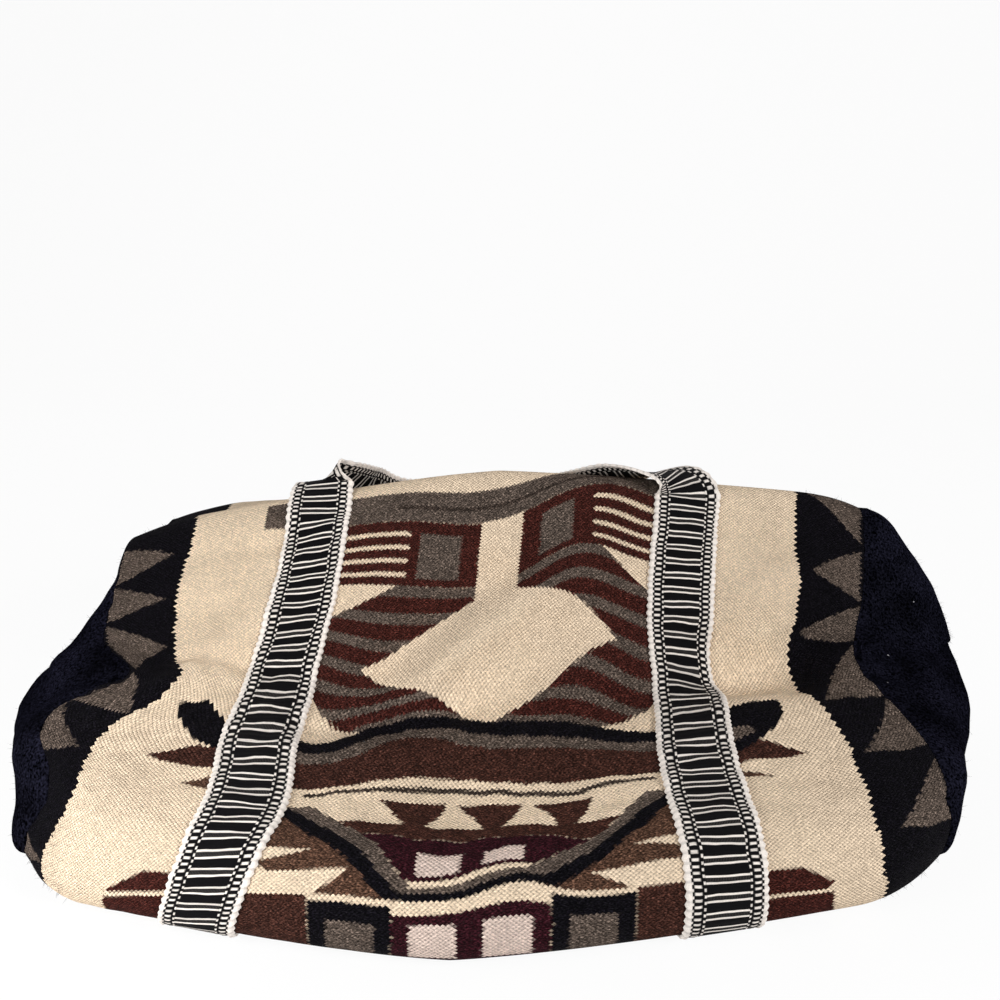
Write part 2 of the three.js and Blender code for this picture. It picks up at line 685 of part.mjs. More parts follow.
const bag = new THREE.Group();
function add(name, geometry, material) {
  const mesh = new THREE.Mesh(geometry, material);
  mesh.name = name;
  bag.add(mesh);
}

add('woven_barrel', barrelGeometry(), cloth('#d8c3a8'));
add('end_panel_left', endPanelGeometry(-1), cloth('#0c0c18'));
add('end_panel_right', endPanelGeometry(1), cloth('#0c0c18'));
add('front_strap', frontStrapGeometry(), cloth('#1a171a'));
add('back_strap', backStrapGeometry(), cloth('#1a171a'));
add('zip_tape_front', tapeGeometry(-1), cloth('#15131a'));
add('zip_tape_back', tapeGeometry(1), cloth('#15131a'));
add('zip_teeth_front', teethGeometry(-1), metal('#8d7a55'));
add('zip_teeth_back', teethGeometry(1), metal('#8d7a55'));
add('zip_bottom_stop', stopGeometry(-ZIP_HALF, -TOOTH_BACK, TOOTH_BACK), metal('#8d7a55'));
const stopX = ZIP_HALF - STOP_LONG;
add('zip_top_stop_front', stopGeometry(stopX, -TOOTH_BACK, -TOOTH_TIP), metal('#8d7a55'));
add('zip_top_stop_back', stopGeometry(stopX, TOOTH_TIP, TOOTH_BACK), metal('#8d7a55'));
add('zip_slider', sliderGeometry(), metal('#9a865c'));
add('zip_pull', pullGeometry(), metal('#9a865c'));

// The origin is on the table under the middle of the bag's box
const bounds = new THREE.Box3().setFromObject(bag);
const centre = bounds.getCenter(vec(0, 0, 0));
bag.position.set(-centre.x, -centre.y, -bounds.min.z);

export default bag;
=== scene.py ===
import math
from collections import namedtuple

import bpy
import numpy as np
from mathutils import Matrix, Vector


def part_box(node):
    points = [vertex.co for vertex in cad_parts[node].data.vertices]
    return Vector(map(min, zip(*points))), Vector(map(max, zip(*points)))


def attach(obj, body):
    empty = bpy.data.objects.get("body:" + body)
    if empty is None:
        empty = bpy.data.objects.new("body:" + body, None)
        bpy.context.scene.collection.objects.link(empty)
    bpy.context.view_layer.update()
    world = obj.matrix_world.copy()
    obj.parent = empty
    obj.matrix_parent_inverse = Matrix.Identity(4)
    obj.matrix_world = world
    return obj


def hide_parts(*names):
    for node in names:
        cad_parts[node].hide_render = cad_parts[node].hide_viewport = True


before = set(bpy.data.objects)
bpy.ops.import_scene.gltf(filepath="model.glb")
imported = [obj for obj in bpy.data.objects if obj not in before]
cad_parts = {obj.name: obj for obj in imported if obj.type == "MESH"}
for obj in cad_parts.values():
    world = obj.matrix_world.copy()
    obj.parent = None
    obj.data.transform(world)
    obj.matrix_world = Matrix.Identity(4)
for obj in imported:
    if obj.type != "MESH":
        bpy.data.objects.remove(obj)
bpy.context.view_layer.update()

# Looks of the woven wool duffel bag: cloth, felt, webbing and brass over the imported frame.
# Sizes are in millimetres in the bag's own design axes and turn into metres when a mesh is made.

MM = 0.001
TINY = 1e-6

# Zip and place of the design axes in the frame
ZIP_Y = 132
ZIP_Z = 138
ZIP_GAP = 12
TAPE_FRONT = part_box("zip_tape_front")
TAPE_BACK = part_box("zip_tape_back")
SHIFT = np.array([
    (TAPE_FRONT[0][0] + TAPE_FRONT[1][0]) / 2 / MM,
    (TAPE_FRONT[1][1] + TAPE_BACK[0][1]) / 2 / MM - ZIP_Y,
    0,
])

# Cloth and straps
CLOTH = 4
FELT = 3.5
SEAM_GAP = 0.3
STRAP_WIDTH = 45
STRAP_THICK = 2.2
STRAP_LIFT = 0.4
STRAP_LEFT = -122
STRAP_RIGHT = 124
STRAP_JOIN_Y = -10
# Sways of the straps along the cloth: place and half width as shares of the girth, sway
SWAYS = {
    STRAP_LEFT: [(0.225, 0.035, -7), (0.365, 0.06, 10), (0.445, 0.03, -6)],
    STRAP_RIGHT: [(0.25, 0.055, 7), (0.09, 0.04, 4), (0.43, 0.05, 3)],
}

# Barrel
BARREL_HALF = 252
GIRTH = 940
LIFT = STRAP_THICK + STRAP_LIFT
SLIT_END = 0.8
SLIT_SHUT = 0.92
LIP_RISES = {-1: 2, 1: 14}
FLARE = 12.5
DRIFT = -19
DRIFT_EASE = 0.42
TOE_DRIFT = -6
ROUND_FROM = 0.78
ROUND_IN = 0.1
END_BEND = 1.3
VALLEY = 20
VALLEY_RADIUS = 14
CORNER_STEPS = 24
CORNER_MOST = 0.48
# Rumple: height, waves along and round with their starts, and a slanting wave with its share of the height
RUMPLE = 1.4
RUMPLE_WAVES = (37, 29)
RUMPLE_STARTS = (1.3, 0.4)
RUMPLE_SLANT = (23, 41)
SLANT_SHARE = 0.8
# Lumps: height, number of waves, their least and most length, and their usual length
LUMP_HIGH = 0.085
LUMP_WAVES = 40
LUMP_LONG = (10, 26)
LUMP_USUAL = 16
LUMP_SEED = 3
# Stretches of the girth that are slack, drift along the bag, are pushed at the toe and lie on the floor
SLACK_FRONT = (0.07, 0.13, 0.4, 0.45)
SLACK_BACK = (0.85, 0.89, 0.93, 0.97)
DRIFT_SPAN = (0.07, 0.32, 0.6, 0.85)
TOE_SPAN = (0.3, 0.42, 0.6, 0.85)
FLOOR_SPAN = (0.48, 0.81)

# Pulls that draw an end seam in: place and half width as shares of the girth, pull
SEAM_PULLS = {
    -1: [(0.1, 0.1, -10), (0.235, 0.034, 34), (0.362, 0.038, 17)],
    1: [(0.235, 0.06, 18)],
}

# Corners of the slumped section: y, height above the cloth's base, corner radius
MIDDLE = {
    "ridge": (78, 204, 24), "crook": (-16, 56, 60), "seat": (-178, 48, 34),
    "toe": (-185, 0, 24), "heel": (160, 0, 40), "shoulder": (184, 152, 34),
}
LEFT_END = {
    "ridge": (80, 148, 30), "crook": (14, 92, 50), "seat": (-118, 66, 44),
    "toe": (-130, 0, 22), "heel": (150, 0, 40), "shoulder": (178, 136, 34),
}
RIGHT_END = {
    "ridge": (80, 178, 26), "crook": (32, 88, 40), "seat": (-122, 62, 44),
    "toe": (-134, 0, 34), "heel": (150, 0, 40), "shoulder": (178, 146, 34),
}

# Slack folds: both ends as along and round on the cloth, half width, height
FOLDS = [
    ((46, 146), (-30, 218), 17, 7),
    ((160, 156), (214, 130), 11, 6),
    ((-150, 160), (-206, 226), 16, 8),
    ((-92, 262), (-12, 236), 15, -6),
    ((168, 214), (222, 186), 14, -7),
    ((-70, 330), (60, 322), 30, -4),
]

# Small folds on top of these, in the same form
CREASES = [
    ((44, 152), (-26, 216), 9, 5),
    ((6, 148), (-60, 204), 15, -9),
    ((74, 170), (6, 236), 13, -4),
    ((176, 190), (226, 166), 8, 3),
    ((150, 208), (202, 218), 25, -14),
    ((152, 176), (206, 154), 9, 3),
    ((150, 108), (196, 120), 12, -2.5),
    ((-208, 101), (-148, 108), 9, -3.5),
    ((-202, 150), (-158, 158), 10, -3.5),
    ((-196, 188), (-160, 196), 9, -3.5),
    ((186, 330), (206, 376), 14, -2.5),
]

# End panels
CORE = (78, 62)
BULGES = {-1: 42, 1: 70}
# Dents of the felt: y and z, half width, depth
DENTS = {
    -1: [((104, 118), 58, 42), ((-4, 72), 46, -32), ((-80, 30), 46, 12), ((60, 130), 34, 8)],
    1: [((110, 140), 50, 26), ((16, 68), 44, -20), ((-95, 34), 50, 50), ((58, 104), 46, -10),
        ((104, 134), 44, -8)],
}
# Rolls beside the seams: first and last place as shares of the girth, roll and the valley behind it
ROLLS = {
    -1: (0.22, 0.3, 4, 9),
    1: (0.25, 0.4, 9, 18),
}
# How a panel's dome swells and its rings are spaced, and the pleats round the panel: count and height
DOME_POWER = 0.6
RING_POWER = 1.4
PLEATS = 9
PLEAT_HIGH = 3
# Distances of a roll and its valley from the seam, their width, and how softly they start round the girth
ROLL_AT = 11
ROLL_VALLEY_AT = 26
ROLL_WIDE = 7
ROLL_EASE = 0.05
# Lumps of the felt as a share of the cloth's, and the distance from the seam where they are full
FELT_LUMPS = 0.4
FELT_LUMPS_FROM = 12

# Loose fibres: length, thickness, how deep they are rooted, how many and where they stand on the cloth
FIBRE_LONG = 4.5
FIBRE_THICK = 0.1
FIBRE_ROOT = 0.4
PANEL_FIBRES = 1100
BORDER_FIBRES = 1500
LINE_FIBRES = 500
HAIRY_BORDER = (206, 251)
HAIRY_FRONT = (30, 430)
HAIRY_LINE = (-118, 118)
HAIRY_LINE_AT = 263
HAIRY_LINE_WIDE = (-10, 16)

# Fineness of the nets
ALONG_CELLS = 150
ROUND_CELLS = 300
PANEL_RINGS = 44
STRAP_STEP = 1.15
SPLINE_STEPS = 24
CREST_STEPS = 25
SHARP_ANGLE = 60


def ramp(x, low, high):
    t = np.clip((x - low) / (high - low), 0, 1)
    return t * t * (3 - 2 * t)


def bell(x, middle, width):
    return np.exp(-(((x - middle) / width) ** 2))


def unit(vectors):
    return vectors / np.linalg.norm(vectors, axis=-1, keepdims=True)


def at_runs(places, run, line):
    """Points of a line at places along its run."""
    return np.stack([np.interp(places, run, part) for part in line.T], axis=-1)


def span(x, rise_from, rise_to, fall_from, fall_to):
    """1 on a stretch and 0 outside it, with soft ends."""
    return ramp(x, rise_from, rise_to) * (1 - ramp(x, fall_from, fall_to))


# The barrel's surface

def section_line(u):
    """One section of the barrel as a fine line of y and z, with rounded corners."""
    share = abs(u) ** END_BEND
    end = LEFT_END if u < 0 else RIGHT_END
    slit = (ZIP_GAP + (SLIT_END - ZIP_GAP) * ramp(abs(u), ROUND_FROM, SLIT_SHUT)) / 2
    lip = ZIP_Z - LIFT + LIP_RISES[-1 if u < 0 else 1] * ramp(abs(u), ROUND_FROM, 1)
    corners = [(ZIP_Y - slit, lip, 0), (ZIP_Y - VALLEY, lip, VALLEY_RADIUS)]
    for name, middle in MIDDLE.items():
        corners.append(tuple(m + (e - m) * share for m, e in zip(middle, end[name])))
    corners.append((ZIP_Y + slit, lip, 0))
    line = [np.array(corners[0][:2])]
    steps = np.linspace(0, 1, CORNER_STEPS + 1)[:, None]
    for before, here, after in zip(corners, corners[1:], corners[2:]):
        point = np.array(here[:2])
        back = np.array(before[:2]) - point
        ahead = np.array(after[:2]) - point
        far_back = np.hypot(*back)
        far_ahead = np.hypot(*ahead)
        half_angle = math.acos(back @ ahead / (far_back * far_ahead)) / 2
        cut = min(here[2] / math.tan(half_angle), CORNER_MOST * min(far_back, far_ahead))
        start = point + back / far_back * cut
        stop = point + ahead / far_ahead * cut
        line.extend((1 - steps) ** 2 * start + 2 * steps * (1 - steps) * point + steps ** 2 * stop)
    line.append(np.array(corners[-1][:2]))
    return np.array(line)


def section_points(u, shares):
    line = section_line(u)
    run = np.concatenate([[0], np.cumsum(np.hypot(*np.diff(line, axis=0).T))])
    return at_runs(shares * run[-1], run, line)


def join_share():
    """Share of the girth where the straps' join lies under the bag."""
    shares = np.linspace(*FLOOR_SPAN, 200)
    return float(np.interp(STRAP_JOIN_Y, section_points(0, shares)[:, 0], shares))


def strap_line(place, around):
    """Place along the cloth of a strap's middle as it runs round the barrel."""
    return place + sum(by * bell(around / GIRTH, at, wide) for at, wide, by in SWAYS[place])


def fold_heights(along, around, folds):
    height = np.zeros_like(along)
    for (a0, r0), (a1, r1), width, high in folds:
        da = a1 - a0
        dr = r1 - r0
        t = np.clip(((along - a0) * da + (around - r0) * dr) / (da * da + dr * dr), 0, 1)
        away = np.hypot(along - a0 - t * da, around - r0 - t * dr)
        height += high * bell(away, 0, width)
    return height


def lumps(along, around):
    """Small uneven swells of soft wool."""
    chance = np.random.default_rng(LUMP_SEED)
    height = np.zeros_like(along)
    for _ in range(LUMP_WAVES):
        long = chance.uniform(*LUMP_LONG)
        turn, start = chance.uniform(0, 2 * math.pi, 2)
        way = math.cos(turn) * along + math.sin(turn) * around
        height += long / LUMP_USUAL * np.sin(2 * math.pi * way / long + start)
    return LUMP_HIGH * height


def slack(along, around):
    """How far the cloth stands off its plain section."""
    share = around / GIRTH
    lengthwise = np.sin(along / RUMPLE_WAVES[0] + RUMPLE_STARTS[0])
    crosswise = np.sin(around / RUMPLE_WAVES[1] + RUMPLE_STARTS[1])
    height = RUMPLE * lengthwise * crosswise
    height += SLANT_SHARE * RUMPLE * np.sin(along / RUMPLE_SLANT[0] - around / RUMPLE_SLANT[1])
    height += fold_heights(along, around, FOLDS + CREASES) + lumps(along, around)
    return height * (span(share, *SLACK_FRONT) + span(share, *SLACK_BACK))


def plain_grid(us, vs):
    """The slumped form before the slack folds, on a grid of cloth places."""
    yz = np.array([section_points(u, vs) for u in us])
    u, v = np.meshgrid(us, vs, indexing="ij")
    closing = ROUND_IN * np.clip((np.abs(u) - ROUND_FROM) / (1 - ROUND_FROM), 0, 1) ** 2
    y = yz[..., 0] + (CORE[0] - yz[..., 0]) * closing
    z = yz[..., 1] + (CORE[1] - yz[..., 1]) * closing
    pulled = np.zeros_like(u)
    for side, pulls in SEAM_PULLS.items():
        for at, wide, pull in pulls:
            pulled += np.where(u * side > 0, pull * bell(v, at, wide), 0)
    drift = span(v, *DRIFT_SPAN) * (DRIFT + FLARE * u) * (1 - DRIFT_EASE * u * u)
    pushed = span(v, *TOE_SPAN) * TOE_DRIFT * (1 - 2 * u) * (1 - u * u)
    x = u * BARREL_HALF + drift + pushed - pulled * u ** 3
    return np.stack([x, y, z + LIFT], axis=-1)


def grid_normals(points):
    along, around = np.gradient(points, axis=(0, 1))
    return unit(np.cross(around, along))


US = np.linspace(-1, 1, ALONG_CELLS + 1)
VS = np.linspace(0, 1, ROUND_CELLS + 1)
ALONG, AROUND = np.meshgrid(US * BARREL_HALF, VS * GIRTH, indexing="ij")
PLAIN = plain_grid(US, VS)
BARREL = PLAIN + grid_normals(PLAIN) * slack(ALONG, AROUND)[..., None]
NORMALS = grid_normals(BARREL)
# Lines of the grid at the end seams
SEAM_LINE = {-1: 0, 1: -1}


def on_grid(grid, along, around):
    """Value of a grid at cloth places, between its lines."""
    i = np.clip((np.asarray(along) / BARREL_HALF + 1) / 2 * ALONG_CELLS, 0, ALONG_CELLS - TINY)
    j = np.clip(np.asarray(around) / GIRTH * ROUND_CELLS, 0, ROUND_CELLS - TINY)
    i0 = i.astype(int)
    j0 = j.astype(int)
    di = (i - i0)[..., None]
    dj = (j - j0)[..., None]
    low = grid[i0, j0] * (1 - dj) + grid[i0, j0 + 1] * dj
    high = grid[i0 + 1, j0] * (1 - dj) + grid[i0 + 1, j0 + 1] * dj
    return low * (1 - di) + high * di


def on_cloth(along, around, lift=0):
    normal = unit(on_grid(NORMALS, along, around))
    return on_grid(BARREL, along, around) + normal * np.asarray(lift)[..., None], normal


# Meshes

def grid_faces(rows, columns, closed=False):
    i, j = np.meshgrid(np.arange(rows - 1), np.arange(columns if closed else columns - 1), indexing="ij")
    after = (j + 1) % columns
    quads = [i * columns + j, i * columns + after, (i + 1) * columns + after, (i + 1) * columns + j]
    return np.stack(quads, axis=-1).reshape(-1, 4)


def edge_strip(ring, count):
    """Faces that close a sheet along a ring of its face's points."""
    ahead = np.roll(ring, -1)
    return np.stack([ahead, ring, ring + count, ahead + count], axis=-1)


def new_object(name, data):
    thing = bpy.data.objects.new(name, data)
    bpy.context.collection.objects.link(thing)
    return thing


def mesh_piece(name, points, faces, material, attributes=None):
    """A smooth mesh on the bag's body, from points in millimetres."""
    mesh = bpy.data.meshes.new(name)
    placed = (np.asarray(points).reshape(-1, 3) + SHIFT) * MM
    mesh.from_pydata(placed.tolist(), [], [[int(k) for k in face] for face in faces])
    for key, values in (attributes or {}).items():
        layer = mesh.attributes.new(key, "FLOAT_VECTOR", "POINT")
        layer.data.foreach_set("vector", np.asarray(values, dtype=np.float32).ravel())
    mesh.materials.append(material)
    mesh.shade_smooth()
    mesh.set_sharp_from_angle(angle=math.radians(SHARP_ANGLE))
    piece = new_object(name, mesh)
    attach(piece, "bag")
    return piece


def sheet_piece(name, face, behind, material, attributes, turn=1):
    """A closed sheet between two grids of points, with its faces turned over for a turn of -1."""
    rows, columns = face.shape[:2]
    count = rows * columns
    outer = grid_faces(rows, columns)[:, ::turn]
    index = np.arange(count).reshape(rows, columns)
    rim = np.concatenate([index[0, :-1], index[:-1, -1], index[-1, :0:-1], index[:0:-1, 0]])[::turn]
    faces = np.concatenate([outer, outer[:, ::-1] + count, edge_strip(rim, count)])
    both = {key: np.concatenate([values, values]) for key, values in attributes.items()}
    return mesh_piece(name, np.concatenate([face, behind]), faces, material, both)


# Places in the woven pattern

# Where the cloth is pulled down as it lies: along, round, reach along, reach round, pull
PULLS = [
    (-12, 130, 45, 75, 13),
    (58, 135, 32, 80, -18),
    (85, 80, 30, 25, -10),
    (105, 150, 40, 90, -6),
    (-165, 80, 45, 30, -15),
    (165, 80, 45, 30, -16),
    (-90, 285, 26, 45, 20),
    (-27, 256, 30, 35, -16),
    (104, 264, 28, 45, 16),
]
# Marks of the pattern by their line down it: along and round where they lie on the cloth, then across
MARKS = {
    260.5: [(-97, 279.5, -103), (-74, 276.5, -80), (-63.5, 258.5, -68), (-47.5, 248.5, -52),
            (-20, 246, -24), (15.5, 257, 11), (44, 261, 39), (72, 269.5, 67), (101, 277, 95)],
    308: [(-87, 321, -95), (-58, 312, -66), (-28, 302, -35), (-4, 302, -11), (17, 305, 9), (64, 312, 56),
          (102, 314, 94)],
    322: [(-24, 323, -37), (14, 323, 0), (54, 329, 37)],
    345: [(-22, 344, -37), (17, 345, 0), (54, 348, 37)],
    363: [(-41, 359, -50), (57, 368, 49)],
    369: [(33, 364, 25), (-6, 371, -15)],
    383: [(-14, 388.5, -23), (4, 386, -5), (35, 378.5, 26)],
    389: [(-14, 392, -23), (10, 389, 1), (38, 385, 30)],
    396: [(-25, 399, -35), (44, 394.5, 35)],
}
MARK_REACH = 24
MARK_EASE = 0.05
# How far the borders stray from their lines: round, reach, stray
LEFT_STRAYS = [(80, 40, 5), (190, 45, 9), (236, 22, 8), (375, 55, -17)]
RIGHT_STRAYS = [(110, 70, -8), (225, 45, -5), (345, 50, -6)]
# Slanting stripes beside the rhombus: middle along the cloth and how much they slant
STRIPES = [(-92, 0.36), (88, 0.2)]
STRIPES_DOWN = 200
STRIPES_REACH = 45
# How far the pattern's middle lies right of the bag's, and how much farther below these places round
PATTERN_RIGHT = 4
PATTERN_FARTHER = 5
FARTHER_SPAN = (240, 340)
# The cloth is drawn out where it sinks into the seat: middle, half width and most
DRAWN_AT = 262
DRAWN_WIDE = 52
DRAWN_BY = 0.9


def easing(around):
    return 1 + DRAWN_BY * bell(around, DRAWN_AT, DRAWN_WIDE)


def eased(around):
    """Length of cloth up to a place round the barrel before it was drawn out."""
    fine = np.linspace(0, GIRTH, GIRTH + 1)
    steps = np.diff(fine) / easing((fine[1:] + fine[:-1]) / 2)
    return np.interp(around, fine, np.concatenate([[0], np.cumsum(steps)]))


def plain_pattern(along, down):
    """Across and down the pattern, as the pulls alone place it."""
    pulled = np.zeros_like(down)
    for a, r, wide, tall, pull in PULLS:
        pulled += pull * bell(along, a, wide) * bell(down, r, tall)
    for at, slant in STRIPES:
        near = bell(along, at, STRIPES_REACH)
        pulled += slant * (along - at) * near * bell(down, STRIPES_DOWN, STRIPES_REACH)
    across = along - PATTERN_RIGHT - PATTERN_FARTHER * ramp(down, *FARTHER_SPAN)
    return np.stack([across, down - pulled], axis=-1)


def pattern_places(along, around):
    """Across and down the pattern, and distance from the middle for the borders."""
    down = GIRTH / 2 - np.abs(around - GIRTH / 2)
    marks = np.array([(*mark, line) for line, row in MARKS.items() for mark in row])
    off = marks[:, 2:] - plain_pattern(marks[:, 0], marks[:, 1])
    between = np.hypot(marks[:, None, 0] - marks[:, 0], marks[:, None, 1] - marks[:, 1])
    weights = np.linalg.solve(bell(between, 0, MARK_REACH) + MARK_EASE * np.eye(len(marks)), off)
    places = plain_pattern(along, down)
    for (a, r), weight in zip(marks[:, :2], weights):
        places += bell(np.hypot(along - a, down - r), 0, MARK_REACH)[..., None] * weight
    border = np.array(along)
    for side, strays in ((-1, LEFT_STRAYS), (1, RIGHT_STRAYS)):
        for r, reach, far in strays:
            border -= np.where(along * side > 0, far * bell(down, r, reach), 0)
    return np.concatenate([places, border[..., None]], axis=-1)


# Node helpers

def linear(red, green, blue):
    def channel(value):
        value /= 255
        return value / 12.92 if value <= 0.04045 else ((value + 0.055) / 1.055) ** 2.4
    return (channel(red), channel(green), channel(blue), 1)


class Nodes:
    """Short names for the nodes of one material."""

    def __init__(self, name):
        self.material = bpy.data.materials.new(name)
        self.material.use_nodes = True
        self.tree = self.material.node_tree
        self.shader = self.tree.nodes["Principled BSDF"]

    def put(self, socket, value):
        if isinstance(value, bpy.types.NodeSocket):
            self.tree.links.new(value, socket)
        else:
            socket.default_value = value

    def add(self, kind, inputs, **settings):
        node = self.tree.nodes.new("ShaderNode" + kind)
        for key, value in settings.items():
            setattr(node, key, value)
        for key, value in inputs.items():
            self.put(node.inputs[key], value)
        return node

    def math(self, operation, *values):
        return self.add("Math", dict(enumerate(values)), operation=operation).outputs[0]

    def times(self, first, second):
        return self.math("MULTIPLY", first, second)

    def vector(self, operation, *values):
        return self.add("VectorMath", dict(enumerate(values)), operation=operation).outputs["Vector"]

    def dot(self, first, second):
        return self.add("VectorMath", {0: first, 1: second}, operation="DOT_PRODUCT").outputs["Value"]

    def combine(self, x, y, z):
        return self.add("CombineXYZ", {0: x, 1: y, 2: z}).outputs[0]

    def separate(self, vector):
        return self.add("SeparateXYZ", {0: vector}).outputs

    def mix(self, share, first, second):
        return self.add("Mix", {0: share, 6: first, 7: second}, data_type="RGBA").outputs[2]

    def scale(self, colour, factor):
        if isinstance(colour, tuple):
            colour = colour[:3]
        return self.add("VectorMath", {0: colour, "Scale": factor}, operation="SCALE").outputs["Vector"]

    def range(self, value, low, high, to_low=0.0, to_high=1.0):
        inputs = {0: value, 1: low, 2: high, 3: to_low, 4: to_high}
        return self.add("MapRange", inputs).outputs[0]

    def noise(self, vector, scale, detail=2.0):
        return self.add("TexNoise", {"Vector": vector, "Scale": scale, "Detail": detail}).outputs["Fac"]

    def chance(self, vector):
        return self.add("TexWhiteNoise", {"Vector": vector}).outputs["Value"]

    def attribute(self, name):
        return self.add("Attribute", {}, attribute_name=name).outputs["Vector"]

    def object_place(self):
        return self.add("TexCoord", {}).outputs["Object"]

    def bump(self, height, distance, strength):
        inputs = {"Height": height, "Distance": distance, "Strength": strength}
        self.put(self.shader.inputs["Normal"], self.add("Bump", inputs).outputs[0])

    def finish(self, colour, roughness, specular, metallic=0.0):
        values = {"Base Color": colour, "Roughness": roughness, "Specular IOR Level": specular}
        for key, value in {**values, "Metallic": metallic}.items():
            self.put(self.shader.inputs[key], value)
        return self.material


# Yarn colours
CREAM = linear(240, 217, 189)
PINK = linear(224, 202, 190)
MAROON = linear(66, 32, 27)
BROWN = linear(66, 40, 33)
TAN = linear(88, 63, 50)
WINE = linear(48, 18, 25)
GREY = linear(95, 83, 75)
DARK_GREY = linear(64, 54, 48)
BLACK = linear(13, 11, 16)

# Woven pattern in painting order: colour, then corners as across and down.
# Half fields are mirrored about the pattern's middle, and those that meet it start at -1.
LINE_TOPS = (111.5, 120.5, 129.5, 138.5)
LINE_THICK = 2.8
STRIPE_PITCH = 17
STRIPE_GREY = 7
# Outline of the striped hexagon: down, across
HEXAGON = [(147, 66), (186, 132), (210, 132), (256, 68)]
HEXAGON_TOP = HEXAGON[0][0]
HEXAGON_LOW = HEXAGON[-1][0]


def block(x0, x1, y0, y1):
    return [(x0, y0), (x1, y0), (x1, y1), (x0, y1)]


def upper_fields():
    """The grey bar, the frames with cream lines under it and the hexagon's ground."""
    fields = [
        (GREY, block(-1, 138, 84, 104)),
        (DARK_GREY, block(-1, 72, 93.5, 96)),
        (MAROON, block(-1, 124, 104, 147)),
    ]
    for top in LINE_TOPS:
        fields.append((CREAM, block(61, 124, top, top + LINE_THICK)))
    outline = [(reach, down) for down, reach in HEXAGON]
    fields.append((MAROON, [(-1, HEXAGON_TOP)] + outline + [(-1, HEXAGON_LOW)]))
    return fields


def stripe_fields():
    """The hexagon's grey stripes, the cream rhombus and the post above it."""
    fields = []
    downs, reaches = zip(*HEXAGON)
    for top in range(HEXAGON_TOP, HEXAGON_LOW, STRIPE_PITCH):
        low = top + STRIPE_GREY
        ends = [float(np.interp(y, downs, reaches)) for y in (top, low)]
        fields.append((GREY, [(-1, top), (ends[0], top), (ends[1], low), (-1, low)]))
    fields.append((CREAM, [(-1, 148), (4, 151), (81, 201), (7, 254), (-1, 254)]))
    fields.append((CREAM, block(-1, 13.5, 104, 162)))
    return fields


def boat_fields():
    """The black line, the bands under it and the framed panel."""
    return [
        (BLACK, [(-1, 318), (107, 329), (82, 355), (40, 390.5), (-1, 392.5)]),
        (GREY, [(-1, 318), (97, 328), (78, 346.5), (43, 379), (33, 387), (-1, 388.5)]),
        (CREAM, [(-1, 318), (91, 320), (66, 348), (27, 384.5), (-1, 384.5)]),
        (BROWN, [(-1, 345), (69, 345), (55.5, 358), (-1, 358)]),
        (WINE, [(-1, 358), (55.5, 358), (30, 381.5), (-1, 381.5)]),
        (BROWN, [(-1, 322), (16, 322), (4, 346), (-1, 346)]),
        (BROWN, [(21, 322), (53, 322), (41, 346), (33, 346)]),
        (PINK, block(5, 25, 369, 379)),
        (BROWN, block(-1, 124, 278, 308)),
        (CREAM, block(-1, 124, 308, 318)),
        (DARK_GREY, block(-1, 92, 312.5, 315.7)),
        (GREY, block(-1, 124, 266, 280)),
        (BLACK, block(-1, 126, 254.5, 268)),
    ]


def low_fields():
    """Flames beside the frame and the row of blocks under it."""
    return [
        (TAN, [(112, 320), (30, 393), (78, 393), (116, 366)]),
        (CREAM, [(128, 361), (76, 368), (128, 378)]),
        (CREAM, [(128, 378), (56, 380), (75, 392), (128, 392)]),
        (CREAM, block(-1, 36.5, 391, 400)),
        (CREAM, block(36.5, 76, 391, 394.5)),
        (WINE, block(-1, 36.5, 399, 471)),
        (BLACK, block(36.5, 75.5, 394, 471)),
        (BROWN, block(75.5, 128, 391.5, 471)),
        (PINK, block(6, 28, 405, 427)),
        (GREY, block(44.5, 67, 404, 430)),
    ]


def side_fields():
    """Grey squares, hooks, darts and low blocks, each with its own place left or right of the middle."""
    return [
        (GREY, block(-162, -137, 84, 104)),
        (GREY, block(-54, -26, 112, 142)),
        (GREY, block(26, 47, 112, 142)),
        (BLACK, [(-190, 239), (-172, 237), (-154.5, 254), (-140, 270), (-140, 290), (-160, 279),
                 (-182, 253.5)]),
        (BROWN, [(-187, 294), (-159, 283), (-136, 287), (-136, 306), (-151, 305), (-175, 299.5)]),
        (TAN, [(-162, 319.3), (-140, 310), (-140, 325)]),
        (MAROON, [(-187, 390), (-164.5, 378.5), (-136, 381), (-136, 391), (-184, 391)]),
        (MAROON, [(-188.5, 394), (-136, 393.5), (-136, 420), (-190.5, 412)]),
        (BLACK, [(136, 257), (163, 248), (180.5, 250.5), (177, 268.5), (172, 276), (155, 292), (136, 303)]),
        (GREY, [(138, 275), (156, 275.7), (155, 283), (138, 291)]),
        (BROWN, [(132, 311), (132, 303), (156, 291.5), (176, 307.7), (166, 310)]),
        (TAN, [(153.7, 325.5), (132, 314), (132, 323)]),
        (MAROON, [(130, 389.5), (156, 388.5), (172.5, 398.5), (170, 402.5), (130, 403)]),
        (MAROON, [(130, 405), (171.5, 404.5), (176, 430), (130, 440)]),
    ]


# Saw teeth of the borders: round at the top, tip and bottom, and how far out the tip is
TEETH = {
    1: [(62, 76, 102, 220), (110, 136, 152, 220), (156, 182, 192, 217), (196, 256, 262, 217),
        (262, 314, 322, 219), (336, 372, 380, 224)],
    -1: [(79, 101, 115, 221), (117, 137, 153, 219), (157, 178, 215, 217), (219, 256, 255, 211),
         (257, 295, 318, 220), (372, 384, 406, 213)],
}
BORDER_AT = 211
SEAM_AT = 257
FIELD_SOFT = 0.4


def tooth_fields():
    return [
        (GREY, [(side * SEAM_AT, top), (side * tip_at, tip), (side * SEAM_AT, low)])
        for side, teeth in TEETH.items() for top, tip, low, tip_at in teeth
    ]


